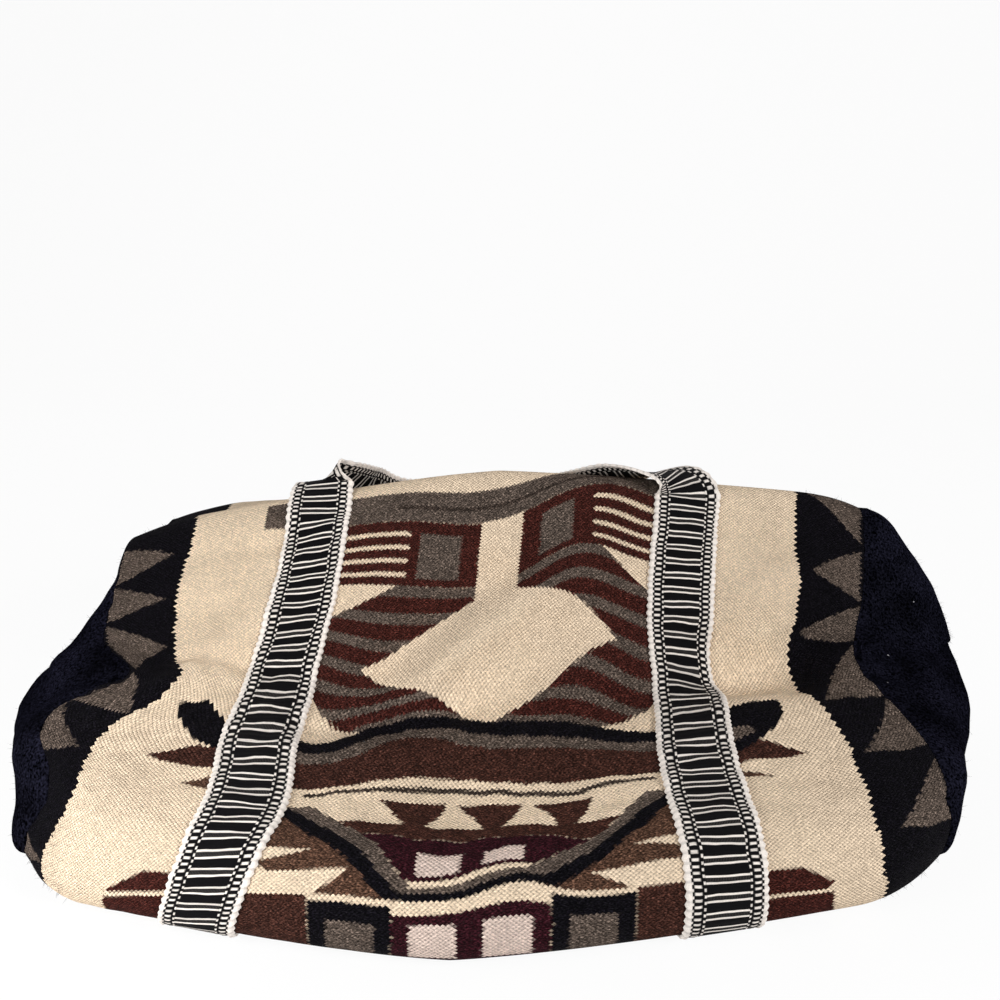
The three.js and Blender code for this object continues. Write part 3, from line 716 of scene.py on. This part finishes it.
def inside(nodes, place, corners):
    """1 inside a convex field and 0 outside, with a soft edge, for a place with a third part of 1."""
    middle = np.mean(corners, axis=0)
    least = None
    for (x0, y0), (x1, y1) in zip(corners, corners[1:] + corners[:1]):
        normal = unit(np.array([y1 - y0, x0 - x1]))
        normal *= np.sign(normal @ (middle - (x0, y0)))
        edge = nodes.dot(place, (*normal, -normal @ (x0, y0)))
        least = edge if least is None else nodes.math("MINIMUM", least, edge)
    return nodes.range(least, -FIELD_SOFT, FIELD_SOFT)


def painted(nodes, colour, place, fields):
    for paint, corners in fields:
        colour = nodes.mix(inside(nodes, place, corners), colour, paint)
    return colour


# Materials

# Weft beads, and how far rows of them reach into each other at the joins of fields and borders
BEAD_WIDE = 2.6
BEAD_ROW = 1.1
FEATHER = 2.2
FIELD_FRAY = 0.35
BORDER_FRAY = 0.9
STRAY = 0.8


def weft_beads(nodes, yarn):
    """Number of the bead at a place of the yarn, and the place within that bead."""
    lean = nodes.dot(yarn, (1 / BEAD_WIDE, 0.5 / BEAD_ROW, 0))
    fall = nodes.dot(yarn, (1 / BEAD_WIDE, -0.5 / BEAD_ROW, 0))
    lattice = nodes.combine(lean, fall, 0.0)
    bead = nodes.vector("FLOOR", nodes.vector("ADD", lattice, (0.5, 0.5, 0.0)))
    return bead, nodes.vector("SUBTRACT", lattice, bead)


def painted_bead(nodes, yarn, bead, within):
    """Colour of the pattern at a bead's middle, with feathered joins between neighbouring yarns."""
    parts = nodes.separate(nodes.attribute("cloth"))
    x = nodes.dot(within, (-BEAD_WIDE / 2, -BEAD_WIDE / 2, 0))
    x = nodes.math("ADD", parts[0], x)
    y = nodes.dot(within, (-BEAD_ROW, BEAD_ROW, 0))
    y = nodes.math("MULTIPLY_ADD", y, nodes.separate(yarn)[2], parts[1])
    row = nodes.dot(bead, (BEAD_ROW, -BEAD_ROW, 0))
    feather = nodes.math("SUBTRACT", nodes.math("PINGPONG", row, FEATHER), FEATHER / 2)
    stray = nodes.math("MULTIPLY_ADD", nodes.chance(nodes.combine(row, 3.0, 0.0)), STRAY, -STRAY / 2)
    frayed = nodes.math("ADD", x, nodes.math("MULTIPLY_ADD", feather, BORDER_FRAY, stray))
    x = nodes.math("ADD", x, nodes.math("MULTIPLY_ADD", feather, FIELD_FRAY, stray))
    half = nodes.combine(nodes.math("ABSOLUTE", x), y, 1.0)
    colour = painted(nodes, CREAM, half, upper_fields() + stripe_fields() + low_fields() + boat_fields())
    colour = painted(nodes, colour, nodes.combine(x, y, 1.0), side_fields())
    # borders at both ends
    off = nodes.math("SUBTRACT", parts[2], parts[0])
    end = nodes.math("ADD", frayed, off)
    colour = nodes.mix(nodes.math("GREATER_THAN", nodes.math("ABSOLUTE", end), BORDER_AT), colour, BLACK)
    return painted(nodes, colour, nodes.combine(end, y, 1.0), tooth_fields())


def woven_material():
    nodes = Nodes("woven_wool")
    yarn = nodes.attribute("yarn")
    bead, within = weft_beads(nodes, yarn)
    colour = painted_bead(nodes, yarn, bead, within)
    # fibres of each yarn, stronger on dark wool
    light = nodes.add("RGBToBW", {0: colour}).outputs[0]
    fleck = nodes.range(light, 0.12, 0.5, 3.0, 0.75)
    fibre = nodes.noise(nodes.vector("MULTIPLY", yarn, (0.8, 1.5, 0.0)), 1.0, 4.0)
    spread = nodes.math("MULTIPLY_ADD", nodes.math("SUBTRACT", fibre, 0.52), 3.2, -0.2)
    spread = nodes.math("MULTIPLY_ADD", nodes.chance(bead), 0.4, spread)
    shade = nodes.math("POWER", 2.0, nodes.times(spread, fleck))
    # pale lint, painted shade in the crevices between beads, and worn places
    lint = nodes.noise(nodes.vector("MULTIPLY", yarn, (0.5, 1.9, 0.0)), 1.3, 3.0)
    lint = nodes.range(lint, 0.55, 0.78, 0.0, 0.022)
    dome = nodes.vector("MULTIPLY", within, within)
    dome = nodes.dot(dome, (1, 1, 0))
    # the crevices between beads are darkened in the colour itself: painted shade
    painted_crevice_shade = nodes.range(dome, 0.12, 0.44, 1.04, 0.62)
    worn = nodes.range(nodes.noise(yarn, 0.03), 0.3, 0.7, 0.94, 1.05)
    shade = nodes.times(nodes.times(shade, painted_crevice_shade), worn)
    colour = nodes.vector("ADD", nodes.scale(colour, shade), nodes.combine(lint, lint, lint))
    height = nodes.math("MULTIPLY_ADD", fibre, 0.9, nodes.times(dome, -2.2))
    nodes.bump(height, 0.0012, 0.9)
    return nodes.finish(colour, 0.95, 0.04)


def felt_material():
    nodes = Nodes("felt_wool")
    place = nodes.object_place()
    cloudy = nodes.noise(place, 30.0, 5.0)
    fibre = nodes.noise(place, 700.0, 4.0)
    base = nodes.mix(nodes.range(cloudy, 0.35, 0.7), linear(6, 6, 10), linear(17, 17, 26))
    colour = nodes.scale(base, nodes.range(fibre, 0.38, 0.7, 0.1, 3.2))
    dots = nodes.add("TexVoronoi", {"Vector": place, "Scale": 130.0}).outputs
    keep = nodes.math("GREATER_THAN", nodes.chance(dots["Position"]), 0.94)
    lint = nodes.times(nodes.math("LESS_THAN", dots["Distance"], 0.09), keep)
    colour = nodes.mix(lint, colour, linear(150, 148, 152))
    height = nodes.math("ADD", fibre, nodes.times(cloudy, 2.0))
    nodes.bump(height, 0.0009, 0.7)
    return nodes.finish(colour, 1.0, 0.0)


# Webbing: places from its edge of the white rim, the chain, the dots and the ladder, then their sizes
STRAP_BLACK = linear(7, 6, 8)
STRAP_WHITE = linear(243, 234, 226)
SELVEDGE = 3.0
CHAIN_AT = 6.2
DOTS_AT = 9.9
LADDER_FROM = 10.6
BEAD_PITCH = 3.3
RUNG_PITCH = 9.4
RUNG_APART = 3.3
RUNG_THICK = 1.15
SCALLOP = 4.6
SCALLOP_HIGH = 0.6
SCALLOP_FROM = 0.94


def webbing_material():
    nodes = Nodes("strap_webbing")
    place = nodes.attribute("strap")
    parts = nodes.separate(place)
    edge = nodes.math("SUBTRACT", STRAP_WIDTH / 2, nodes.math("ABSOLUTE", parts[0]))
    along = nodes.math("MULTIPLY_ADD", nodes.noise(place, 0.05), 2.0, parts[1])

    def band(value, middle, half):
        away = nodes.math("ABSOLUTE", nodes.math("SUBTRACT", value, middle))
        return nodes.range(away, half * 0.75, half * 1.2, 1.0, 0.0)

    def link(middle, offset, wide, tall):
        local = nodes.math("WRAP", nodes.math("ADD", along, offset), BEAD_PITCH / 2, -BEAD_PITCH / 2)
        return nodes.times(band(edge, middle, wide), band(local, 0.0, tall))

    white = nodes.range(edge, SELVEDGE - 0.2, SELVEDGE + 0.2, 1.0, 0.0)
    for mark in (
        link(CHAIN_AT, 0.0, 1.85, 0.72),
        link(DOTS_AT, BEAD_PITCH / 2, 0.6, 0.8),
        link(SELVEDGE, BEAD_PITCH / 2, 0.9, 0.7),
    ):
        white = nodes.math("MAXIMUM", white, mark)
    rung = nodes.math("ABSOLUTE", nodes.math("WRAP", along, RUNG_PITCH / 2, -RUNG_PITCH / 2))
    pair = band(rung, RUNG_APART / 2, RUNG_THICK / 2)
    tick = nodes.range(nodes.math("SINE", nodes.times(parts[0], 7.5)), 0.3, 0.95, 0.0, 0.08)
    ticks = nodes.times(tick, nodes.math("LESS_THAN", rung, RUNG_APART / 2))
    ladder = nodes.math("MAXIMUM", pair, ticks)
    inner = nodes.math("GREATER_THAN", edge, LADDER_FROM)
    white = nodes.math("MAXIMUM", white, nodes.times(ladder, inner))
    grain = nodes.noise(place, 1.6, 3.0)
    black = nodes.scale(STRAP_BLACK, nodes.range(grain, 0.3, 0.7, 0.6, 1.7))
    pale = nodes.scale(STRAP_WHITE, nodes.range(grain, 0.3, 0.7, 0.85, 1.05))
    cord = nodes.math("SINE", nodes.times(parts[2], 2 * math.pi / SCALLOP))
    # the white yarn is darkened between the loops of the edge: painted shade in their grooves
    pale = nodes.scale(pale, nodes.range(cord, -1.0, -0.2, 0.78, 1.0))
    height = nodes.math("ADD", nodes.times(white, 1.6), nodes.times(cord, 0.5))
    nodes.bump(nodes.math("ADD", height, grain), 0.0005, 0.8)
    return nodes.finish(nodes.mix(white, black, pale), 0.85, 0.1)


def tape_material():
    nodes = Nodes("zip_tape")
    parts = nodes.separate(nodes.object_place())
    rib = nodes.math("SINE", nodes.times(parts[0], 5200.0))
    cross = nodes.math("SINE", nodes.times(parts[1], 7400.0))
    weave = nodes.times(rib, cross)
    colour = nodes.mix(nodes.range(weave, -1.0, 1.0), linear(15, 14, 18), linear(38, 36, 42))
    nodes.bump(weave, 0.0002, 0.8)
    return nodes.finish(colour, 0.8, 0.3)


def brass_material(name, tint, roughness):
    nodes = Nodes(name)
    place = nodes.object_place()
    cloud = nodes.noise(place, 160.0, 4.0)
    scratch = nodes.noise(nodes.vector("MULTIPLY", place, (300.0, 2600.0, 2600.0)), 1.0, 2.0)
    dull = nodes.scale(tint, nodes.range(cloud, 0.35, 0.7, 0.62, 1.05))
    rough = nodes.math("MULTIPLY_ADD", scratch, 0.25, roughness)
    nodes.bump(scratch, 0.00005, 0.5)
    return nodes.finish(dull, rough, 0.5, 1.0)


# Pieces

def woven_barrel(material, hairs):
    yarns = np.stack([ALONG, eased(AROUND), easing(AROUND)], axis=-1)
    piece = sheet_piece("woven_barrel_cloth", BARREL, BARREL - NORMALS * CLOTH, material,
                        {"cloth": pattern_places(ALONG, AROUND), "yarn": yarns})
    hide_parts("woven_barrel")


def seam_field(side, y, z):
    """Even distance of places from the end seam, and the seam's x carried over to them."""
    seam = BARREL[SEAM_LINE[side]]
    ahead = np.roll(seam, -1, axis=0)
    middle = (seam + ahead) / 2
    long = np.hypot(*(ahead - seam)[:, 1:].T)
    away = np.hypot(y[..., None] - middle[:, 1], z[..., None] - middle[:, 2])
    weight = long / away ** 3
    pull = weight.sum(-1)
    return np.sqrt(2 / pull), (weight * middle[:, 0]).sum(-1) / pull


def panel_points(side):
    """Rings of an end panel's face, from its seam to its middle."""
    seam = BARREL[SEAM_LINE[side]]
    core = np.array([side * BARREL_HALF, CORE[0], CORE[1] + LIFT])
    rings = 1 - np.linspace(0, 1, PANEL_RINGS + 1)[:-1] ** RING_POWER
    r = rings[1:, None]
    at = core + (seam[None] - core) * r[..., None]
    distance, x = seam_field(side, at[..., 1], at[..., 2])
    deepest = seam_field(side, core[1:2], core[2:3])[0][0]
    swell = (distance / deepest) ** DOME_POWER
    rise = BULGES[side] * swell
    for (y, z), width, depth in DENTS[side]:
        rise -= depth * swell * np.exp(-((at[..., 1] - y) ** 2 + (at[..., 2] - z) ** 2) / width ** 2)
    start, stop, roll, valley = ROLLS[side]
    rolled = span(VS, start - ROLL_EASE, start + ROLL_EASE, stop - ROLL_EASE, stop + ROLL_EASE)
    raised = roll * bell(distance, ROLL_AT, ROLL_WIDE)
    rise += rolled * (raised - valley * bell(distance, ROLL_VALLEY_AT, ROLL_WIDE))
    rise += FELT_LUMPS * lumps(at[..., 1], at[..., 2]) * np.minimum(distance / FELT_LUMPS_FROM, 1)
    rise += PLEAT_HIGH * np.sin(2 * np.pi * PLEATS * VS[None]) * r ** 3 * (1 - r) * 4
    at[..., 0] = x + side * (SEAM_GAP + rise)
    edge = seam + np.array([side * SEAM_GAP, 0, 0])
    return np.concatenate([edge[None], at])


def end_panel(side, material):
    name = "end_panel_right" if side > 0 else "end_panel_left"
    net = panel_points(side)
    rows, columns = net.shape[:2]
    pole = net[-1].mean(axis=0)
    face = np.concatenate([net.reshape(-1, 3), pole[None]])
    along = np.gradient(net, axis=0)
    around = np.roll(net, -1, axis=1) - np.roll(net, 1, axis=1)
    normal = np.cross(around, along) * side
    normal[0] = NORMALS[SEAM_LINE[side]]
    normals = np.concatenate([unit(normal).reshape(-1, 3), [[side, 0, 0]]])
    behind = face - normals * FELT
    quads = grid_faces(rows, columns, closed=True)
    last = (rows - 1) * columns
    fan = [[last + j, last + (j + 1) % columns, rows * columns] for j in range(columns)]
    count = len(face)
    outer = [list(q) for q in quads] + fan
    if side < 0:
        outer = [q[::-1] for q in outer]
    inner = [[k + count for k in q[::-1]] for q in outer]
    ring = np.arange(columns) if side > 0 else np.arange(columns)[::-1]
    faces = outer + inner + edge_strip(ring, count).tolist()
    piece = mesh_piece(name + "_felt", np.concatenate([face, behind]), faces, material)
    picks = np.random.default_rng(20 + side).integers(0, len(face), PANEL_FIBRES)
    hairs = fibres(name + "_fibres", face[picks], normals[picks], material, 30 + side)
    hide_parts(name)


# Loose fibres

def fibres(name, roots, normals, material, seed):
    """Short thin hairs that stand on the cloth."""
    chance = np.random.default_rng(seed)
    count = len(roots)
    way = unit(0.7 * normals + 0.6 * chance.normal(size=(count, 3)))
    side = unit(np.cross(way, chance.normal(size=(count, 3))))
    other = np.cross(way, side)
    tips = roots + way * chance.uniform(0.4, 1, (count, 1)) * FIBRE_LONG
    foot = roots - normals * FIBRE_ROOT
    rings = []
    for k in range(3):
        angle = 2 * math.pi * k / 3
        rings.append(foot + FIBRE_THICK * (math.cos(angle) * side + math.sin(angle) * other))
    points = np.stack(rings + [tips], axis=1).reshape(-1, 3)
    corner = np.array([[0, 2, 1], [0, 1, 3], [1, 2, 3], [2, 0, 3]])
    faces = (corner[None] + 4 * np.arange(count)[:, None, None]).reshape(-1, 3)
    return mesh_piece(name, points, faces, material)


def cloth_fibres(material):
    """Dark hairs on the borders and along the black line of the front."""
    chance = np.random.default_rng(7)
    along = chance.uniform(*HAIRY_BORDER, BORDER_FIBRES) * chance.choice([-1, 1], BORDER_FIBRES)
    around = chance.uniform(*HAIRY_FRONT, BORDER_FIBRES)
    line = chance.uniform(*HAIRY_LINE, LINE_FIBRES)
    beside = HAIRY_LINE_AT + chance.uniform(*HAIRY_LINE_WIDE, LINE_FIBRES)
    roots, normals = on_cloth(np.concatenate([along, line]), np.concatenate([around, beside]))
    piece = fibres("woven_barrel_fibres", roots, normals, material, 11)
    return piece


# Straps

def spline_points(knots, steps, uniform=False):
    """Catmull-Rom line through knots, with steps to each span between the second and the last but one."""
    knots = np.asarray(knots, dtype=float)
    line = []
    for k in range(1, len(knots) - 2):
        p0, p1, p2, p3 = knots[k - 1:k + 3]
        gaps = [1.0 if uniform else max(np.linalg.norm(b - a), TINY) ** 0.5
                for a, b in ((p0, p1), (p1, p2), (p2, p3))]
        m1 = (p1 - p0) / gaps[0] - (p2 - p0) / (gaps[0] + gaps[1]) + (p2 - p1) / gaps[1]
        m2 = (p2 - p1) / gaps[1] - (p3 - p1) / (gaps[1] + gaps[2]) + (p3 - p2) / gaps[2]
        m1 = m1 * gaps[1]
        m2 = m2 * gaps[1]
        t = np.linspace(0, 1, steps + 1)[:-1, None]
        line.append((2 * t ** 3 - 3 * t ** 2 + 1) * p1 + (t ** 3 - 2 * t ** 2 + t) * m1
                    + (-2 * t ** 3 + 3 * t ** 2) * p2 + (t ** 3 - t ** 2) * m2)
    return np.concatenate(line)


def over(x, low, high, behind, above):
    """A place behind and above the highest point of the cloth on a stretch of the girth."""
    shares = np.linspace(low, high, CREST_STEPS) * GIRTH
    points = on_cloth(np.full(CREST_STEPS, float(x)), shares)[0]
    return points[points[:, 2].argmax()] + np.array([0, behind, above])


# Distances from a strap's middle that give its cross line and the stretch of the cloth under it
NEAR = 3
SPREAD = 12
SewnRun = namedtuple("SewnRun", "middle side shares place way")


def sewn_run(place, shares, way):
    """Middle line, cross lines and shares of the girth of a strap sewn on the cloth."""
    around = shares * GIRTH
    spots = strap_line(place, around)
    middle = on_cloth(spots, around, STRAP_LIFT + STRAP_THICK / 2)[0]
    side = way * (on_cloth(spots + NEAR, around)[0] - on_cloth(spots - NEAR, around)[0])
    return SewnRun(middle, unit(side), shares, place, way)


# Shares of the girth where the straps leave the cloth and where its ridge and shoulder lie
FRONT_LEAVE = 0.09
BACK_LEAVE = 0.95
RIDGE_SPAN = (0, 0.13)
SHOULDER_SPAN = (0.88, 1)
JOIN_GAP = 0.001
# Length over which a strap leaves the cloth, and cross lines of the sewn runs
FADE = 16
FRONT_ROWS = 42
BACK_ROWS = 36
# Way up the slope behind the ridge, and the front handle's lower edge behind and above the valley
SLOPE = (0, -0.5, 0.866)
SLOPE_FOOT = (4, 6)


def slope_station(x, off):
    """A place of the front handle where it leans on the slope behind the ridge."""
    across = np.array(SLOPE)
    edge = np.array([x, ZIP_Y - VALLEY + SLOPE_FOOT[0] + off, ZIP_Z + SLOPE_FOOT[1] + off])
    return edge + across * STRAP_WIDTH / 2, across


def front_stations():
    """Middles and cross lines of the front handle."""
    def ridge(x, behind, above, across):
        return over(x, *RIDGE_SPAN, behind, above), np.array(across)
    return [
        ridge(STRAP_LEFT, -5, 5, (0.95, 0.05, 0.3)),
        ridge(STRAP_LEFT + 1, 1, 9.5, (0.9, 0, 0.43)),
        ridge(STRAP_LEFT + 7, 10, 7, (0.78, -0.2, 0.6)),
        ridge(STRAP_LEFT + 27, 29, -9, (0.55, -0.35, 0.76)),
        slope_station(STRAP_LEFT + 56, -2),
        slope_station(-20, 0),
        slope_station(40, 1),
        ridge(STRAP_RIGHT - 46, 17, -5, (-0.12, -0.7, 0.66)),
        ridge(STRAP_RIGHT - 20, 9, 3, (-0.5, -0.8, 0.25)),
        ridge(STRAP_RIGHT - 2, -4, 3.5, (-0.9, -0.42, 0)),
    ]


def back_stations():
    """Middles and cross lines of the back handle."""
    def shoulder(x, ahead, above, across):
        return over(x, *SHOULDER_SPAN, -ahead, above), np.array(across)
    turn = [(4, 2, 5, (0.95, 0.3, 0)), (20, 4, 6, (0.55, 0.83, 0)), (48, 3, 6, (0.1, 1, -0.1))]
    first = [shoulder(STRAP_RIGHT - off, ahead, above, (-a, b, c)) for off, ahead, above, (a, b, c) in turn]
    flat = [shoulder(x, 2, 7, (0, 1, -0.14)) for x in (30, -30)]
    last = [shoulder(STRAP_LEFT + off, ahead, above, across) for off, ahead, above, across in turn[::-1]]
    return first + flat + last


# Height of the webbing over its base across its width: share of the half width, height
WEB_HALF = np.array([
    (-1.0, 0.3), (-0.97, 0.8), (-0.9, 1.0), (-0.85, 0.75), (-0.82, 0.72), (-0.7, 0.85), (-0.6, 0.7),
    (-0.56, 0.8), (-0.5, 0.75), (-0.25, 0.75),
])
WEB_ACROSS = np.concatenate([WEB_HALF[:, 0], [0.0], -WEB_HALF[::-1, 0]])
WEB_HEIGHT = np.concatenate([WEB_HALF[:, 1], [0.75], WEB_HALF[::-1, 1]])


def sewn_net(place, way, around, across):
    """Places and normals of a sewn strap's columns, at their true width on the cloth."""
    spots = strap_line(place, around)
    wide = on_cloth(spots + SPREAD, around)[0] - on_cloth(spots - SPREAD, around)[0]
    stretch = np.linalg.norm(wide, axis=-1) / (2 * SPREAD)
    along = spots[:, None] + way * across[None] / stretch[:, None]
    return on_cloth(along, np.repeat(around[:, None], len(across), axis=1), STRAP_LIFT + STRAP_THICK / 2)


def strap_course(up, stations, down):
    """Fine middle line and cross lines of a strap, with the knot and the length at each point."""
    middles = np.concatenate([up.middle, [s[0] for s in stations], down.middle])
    sides = np.concatenate([up.side, [s[1] / np.linalg.norm(s[1]) for s in stations], down.side])
    before = 2 * middles[:1] - middles[1:2]
    after = 2 * middles[-1:] - middles[-2:-1]
    fine = spline_points(np.concatenate([before, middles, after]), SPLINE_STEPS)
    longer_sides = np.concatenate([sides[:1], sides, sides[-1:]])
    fine_sides = spline_points(longer_sides, SPLINE_STEPS, uniform=True)
    knot = np.arange(len(fine)) / SPLINE_STEPS
    run = np.concatenate([[0], np.cumsum(np.linalg.norm(np.diff(fine, axis=0), axis=1))])
    return fine, fine_sides, knot, run


def loose_net(fine, fine_sides, run, steps, across):
    """Places and normals of a strap's columns, as its course alone gives them."""
    line = at_runs(steps, run, fine)
    side = at_runs(steps, run, fine_sides)
    way = unit(np.gradient(line, axis=0))
    side = unit(side - way * (side * way).sum(axis=1, keepdims=True))
    out = np.cross(side, way)
    base = line[:, None] + side[:, None] * across[None, :, None]
    return base, np.repeat(out[:, None], len(across), axis=1)


def looped_edges(base, steps):
    """Side moves of the outermost columns that make the strap's looped edges."""
    loops = SCALLOP_HIGH * np.sin(2 * np.pi * steps / SCALLOP)
    outward = np.sign(WEB_ACROSS) * (np.abs(WEB_ACROSS) > SCALLOP_FROM)
    beside = unit(np.gradient(base, axis=1))
    return beside * (loops[:, None] * outward[None])[..., None]


def strap(name, node, up, stations, down, material):
    """A strap along its sewn runs and its loose handle."""
    fine, fine_sides, knot, run = strap_course(up, stations, down)
    steps = np.linspace(0, run[-1], int(run[-1] / STRAP_STEP))
    across = WEB_ACROSS * STRAP_WIDTH / 2
    base, out = loose_net(fine, fine_sides, run, steps, across)
    # sewn runs lie on the cloth column by column
    at = np.interp(steps, run, knot)
    first = len(up.middle) - 1
    last = len(up.middle) + len(stations)
    leave = np.interp(first, knot, run)
    meet = np.interp(last, knot, run)
    shares_up = np.interp(at, np.arange(first + 1), up.shares)
    shares_down = np.interp(at, last + np.arange(len(down.middle)), down.shares)
    for sewn, shares, held in (
        (up, shares_up, 1 - ramp(steps, leave - FADE, leave)),
        (down, shares_down, ramp(steps, meet, meet + FADE)),
    ):
        spots, normals = sewn_net(sewn.place, sewn.way, shares * GIRTH, across)
        held = held[:, None, None]
        base = base * (1 - held) + spots * held
        out = out * (1 - held) + normals * held
    out = unit(out)
    base = base + looped_edges(base, steps)
    top = base + out * ((WEB_HEIGHT - 0.5) * STRAP_THICK)[None, :, None]
    under = base - out * STRAP_THICK / 2
    for net in (top, under):
        net[..., 2] = np.maximum(net[..., 2], 0)
    # the ladder is drawn out with the cloth
    drawn = easing(shares_up * GIRTH) + easing(shares_down * GIRTH) - 1
    lengths = np.cumsum(np.gradient(steps) / drawn)
    places = np.stack(np.broadcast_arrays(across[None], lengths[:, None], steps[:, None]), axis=-1)
    piece = sheet_piece(name, top, under, material, {"strap": places}, turn=-1)
    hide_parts(node)


def front_strap(material):
    shares = np.linspace(join_share(), FRONT_LEAVE, FRONT_ROWS)
    up = sewn_run(STRAP_LEFT, shares, 1)
    down = sewn_run(STRAP_RIGHT, shares[::-1], -1)
    strap("front_strap_webbing", "front_strap", up, front_stations(), down, material)


def back_strap(material):
    shares = np.linspace(join_share() + JOIN_GAP, BACK_LEAVE, BACK_ROWS)
    up = sewn_run(STRAP_RIGHT, shares, -1)
    down = sewn_run(STRAP_LEFT, shares[::-1], 1)
    strap("back_strap_webbing", "back_strap", up, back_stations(), down, material)


# Zip

def dress_zip():
    """Looks of the zip's solids, whose shapes stay as they are."""
    tape = tape_material()
    brass = brass_material("zip_metal", linear(176, 148, 92), 0.28)
    slider = brass_material("slider_metal", linear(186, 158, 100), 0.22)
    looks = {
        "zip_tape_front": tape, "zip_tape_back": tape, "zip_teeth_front": brass, "zip_teeth_back": brass,
        "zip_bottom_stop": brass, "zip_top_stop_front": brass, "zip_top_stop_back": brass,
        "zip_slider": slider, "zip_pull": slider,
    }
    for node, material in looks.items():
        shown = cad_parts[node].data.materials
        shown.clear()
        shown.append(material)


# Stage, light and camera

CAMERA_AT = (0, -587, 372.6)
CAMERA_PITCH = 17
CAMERA_LENS = 36
CAMERA_SENSOR = 36
# Stage in metres: front edge, start and radius of the bend, height of the wall, half width
STAGE_FRONT = -3.0
STAGE_BEND = 1.2
STAGE_RADIUS = 0.5
STAGE_HIGH = 4.0
STAGE_HALF = 5.0
BEND_STEPS = 8
STAGE_GLOW = 0.93
WORLD_LIGHT = 0.24


def camera():
    data = bpy.data.cameras.new("photo_camera")
    data.sensor_width = CAMERA_SENSOR
    data.lens = CAMERA_LENS
    view = new_object("photo_camera", data)
    view.location = (np.array(CAMERA_AT) + SHIFT) * MM
    view.rotation_euler = (math.radians(90 - CAMERA_PITCH), 0, 0)
    bpy.context.scene.camera = view


def stage_material():
    nodes = Nodes("studio_white")
    path = nodes.add("LightPath", {}).outputs
    seen = nodes.math("MAXIMUM", path["Is Camera Ray"], path["Is Glossy Ray"])
    seen = nodes.math("MAXIMUM", seen, path["Is Transmission Ray"])
    glow = nodes.add("Emission", {"Color": (1, 1, 1, 1), "Strength": 1.0}).outputs[0]
    nodes.finish(linear(243, 243, 243), 0.9, 0.0)
    share = nodes.times(seen, STAGE_GLOW)
    blend = nodes.add("MixShader", {0: share, 1: nodes.shader.outputs[0], 2: glow}).outputs[0]
    nodes.put(nodes.tree.nodes["Material Output"].inputs["Surface"], blend)
    return nodes.material


def stage():
    """A white floor that curves up into a white wall behind the bag."""
    profile = [(STAGE_FRONT, 0.0), (STAGE_BEND, 0.0)]
    for k in range(1, BEND_STEPS + 1):
        angle = math.radians(90 * k / BEND_STEPS)
        y = STAGE_BEND + STAGE_RADIUS * math.sin(angle)
        profile.append((y, STAGE_RADIUS - STAGE_RADIUS * math.cos(angle)))
    profile.append((STAGE_BEND + STAGE_RADIUS, STAGE_HIGH))
    points = [(x, y, z) for y, z in profile for x in (-STAGE_HALF, STAGE_HALF)]
    faces = [(2 * k, 2 * k + 1, 2 * k + 3, 2 * k + 2) for k in range(len(profile) - 1)]
    mesh = bpy.data.meshes.new("studio_sweep")
    mesh.from_pydata(points, [], faces)
    mesh.shade_smooth()
    mesh.materials.append(stage_material())
    sweep = new_object("studio_sweep", mesh)


def lamp(name, place, aim, size, power):
    data = bpy.data.lights.new(name, "AREA")
    data.shape = "DISK"
    data.size = size
    data.energy = power
    light = new_object(name, data)
    light.location = place
    way = np.array(aim) - np.array(place)
    flat = math.hypot(way[0], way[1])
    light.rotation_euler = (math.atan2(flat, -way[2]), 0, math.atan2(-way[0], way[1]))


def lights():
    world = bpy.data.worlds.new("studio")
    bpy.context.scene.world = world
    world.use_nodes = True
    sky = world.node_tree.nodes["Background"]
    sky.inputs["Color"].default_value = (1, 1, 1, 1)
    sky.inputs["Strength"].default_value = WORLD_LIGHT
    lamp("key_lamp", (1.3, -1.0, 0.95), (0, 0, 0.08), 0.5, 22)
    lamp("side_lamp", (-0.44, -0.42, 0.28), (-0.2, -0.1, 0.05), 0.3, 2.6)
    lamp("back_lamp", (-0.5, 1.1, 1.3), (0, 0.1, 0.1), 0.8, 6)


# Assembly

bpy.context.scene.view_settings.view_transform = "Standard"
camera()
woven = woven_material()
felt = felt_material()
webbing = webbing_material()
front_strap(webbing)
back_strap(webbing)
woven_barrel(woven, cloth_fibres(felt))
for side in (-1, 1):
    end_panel(side, felt)
dress_zip()
stage()
lights()
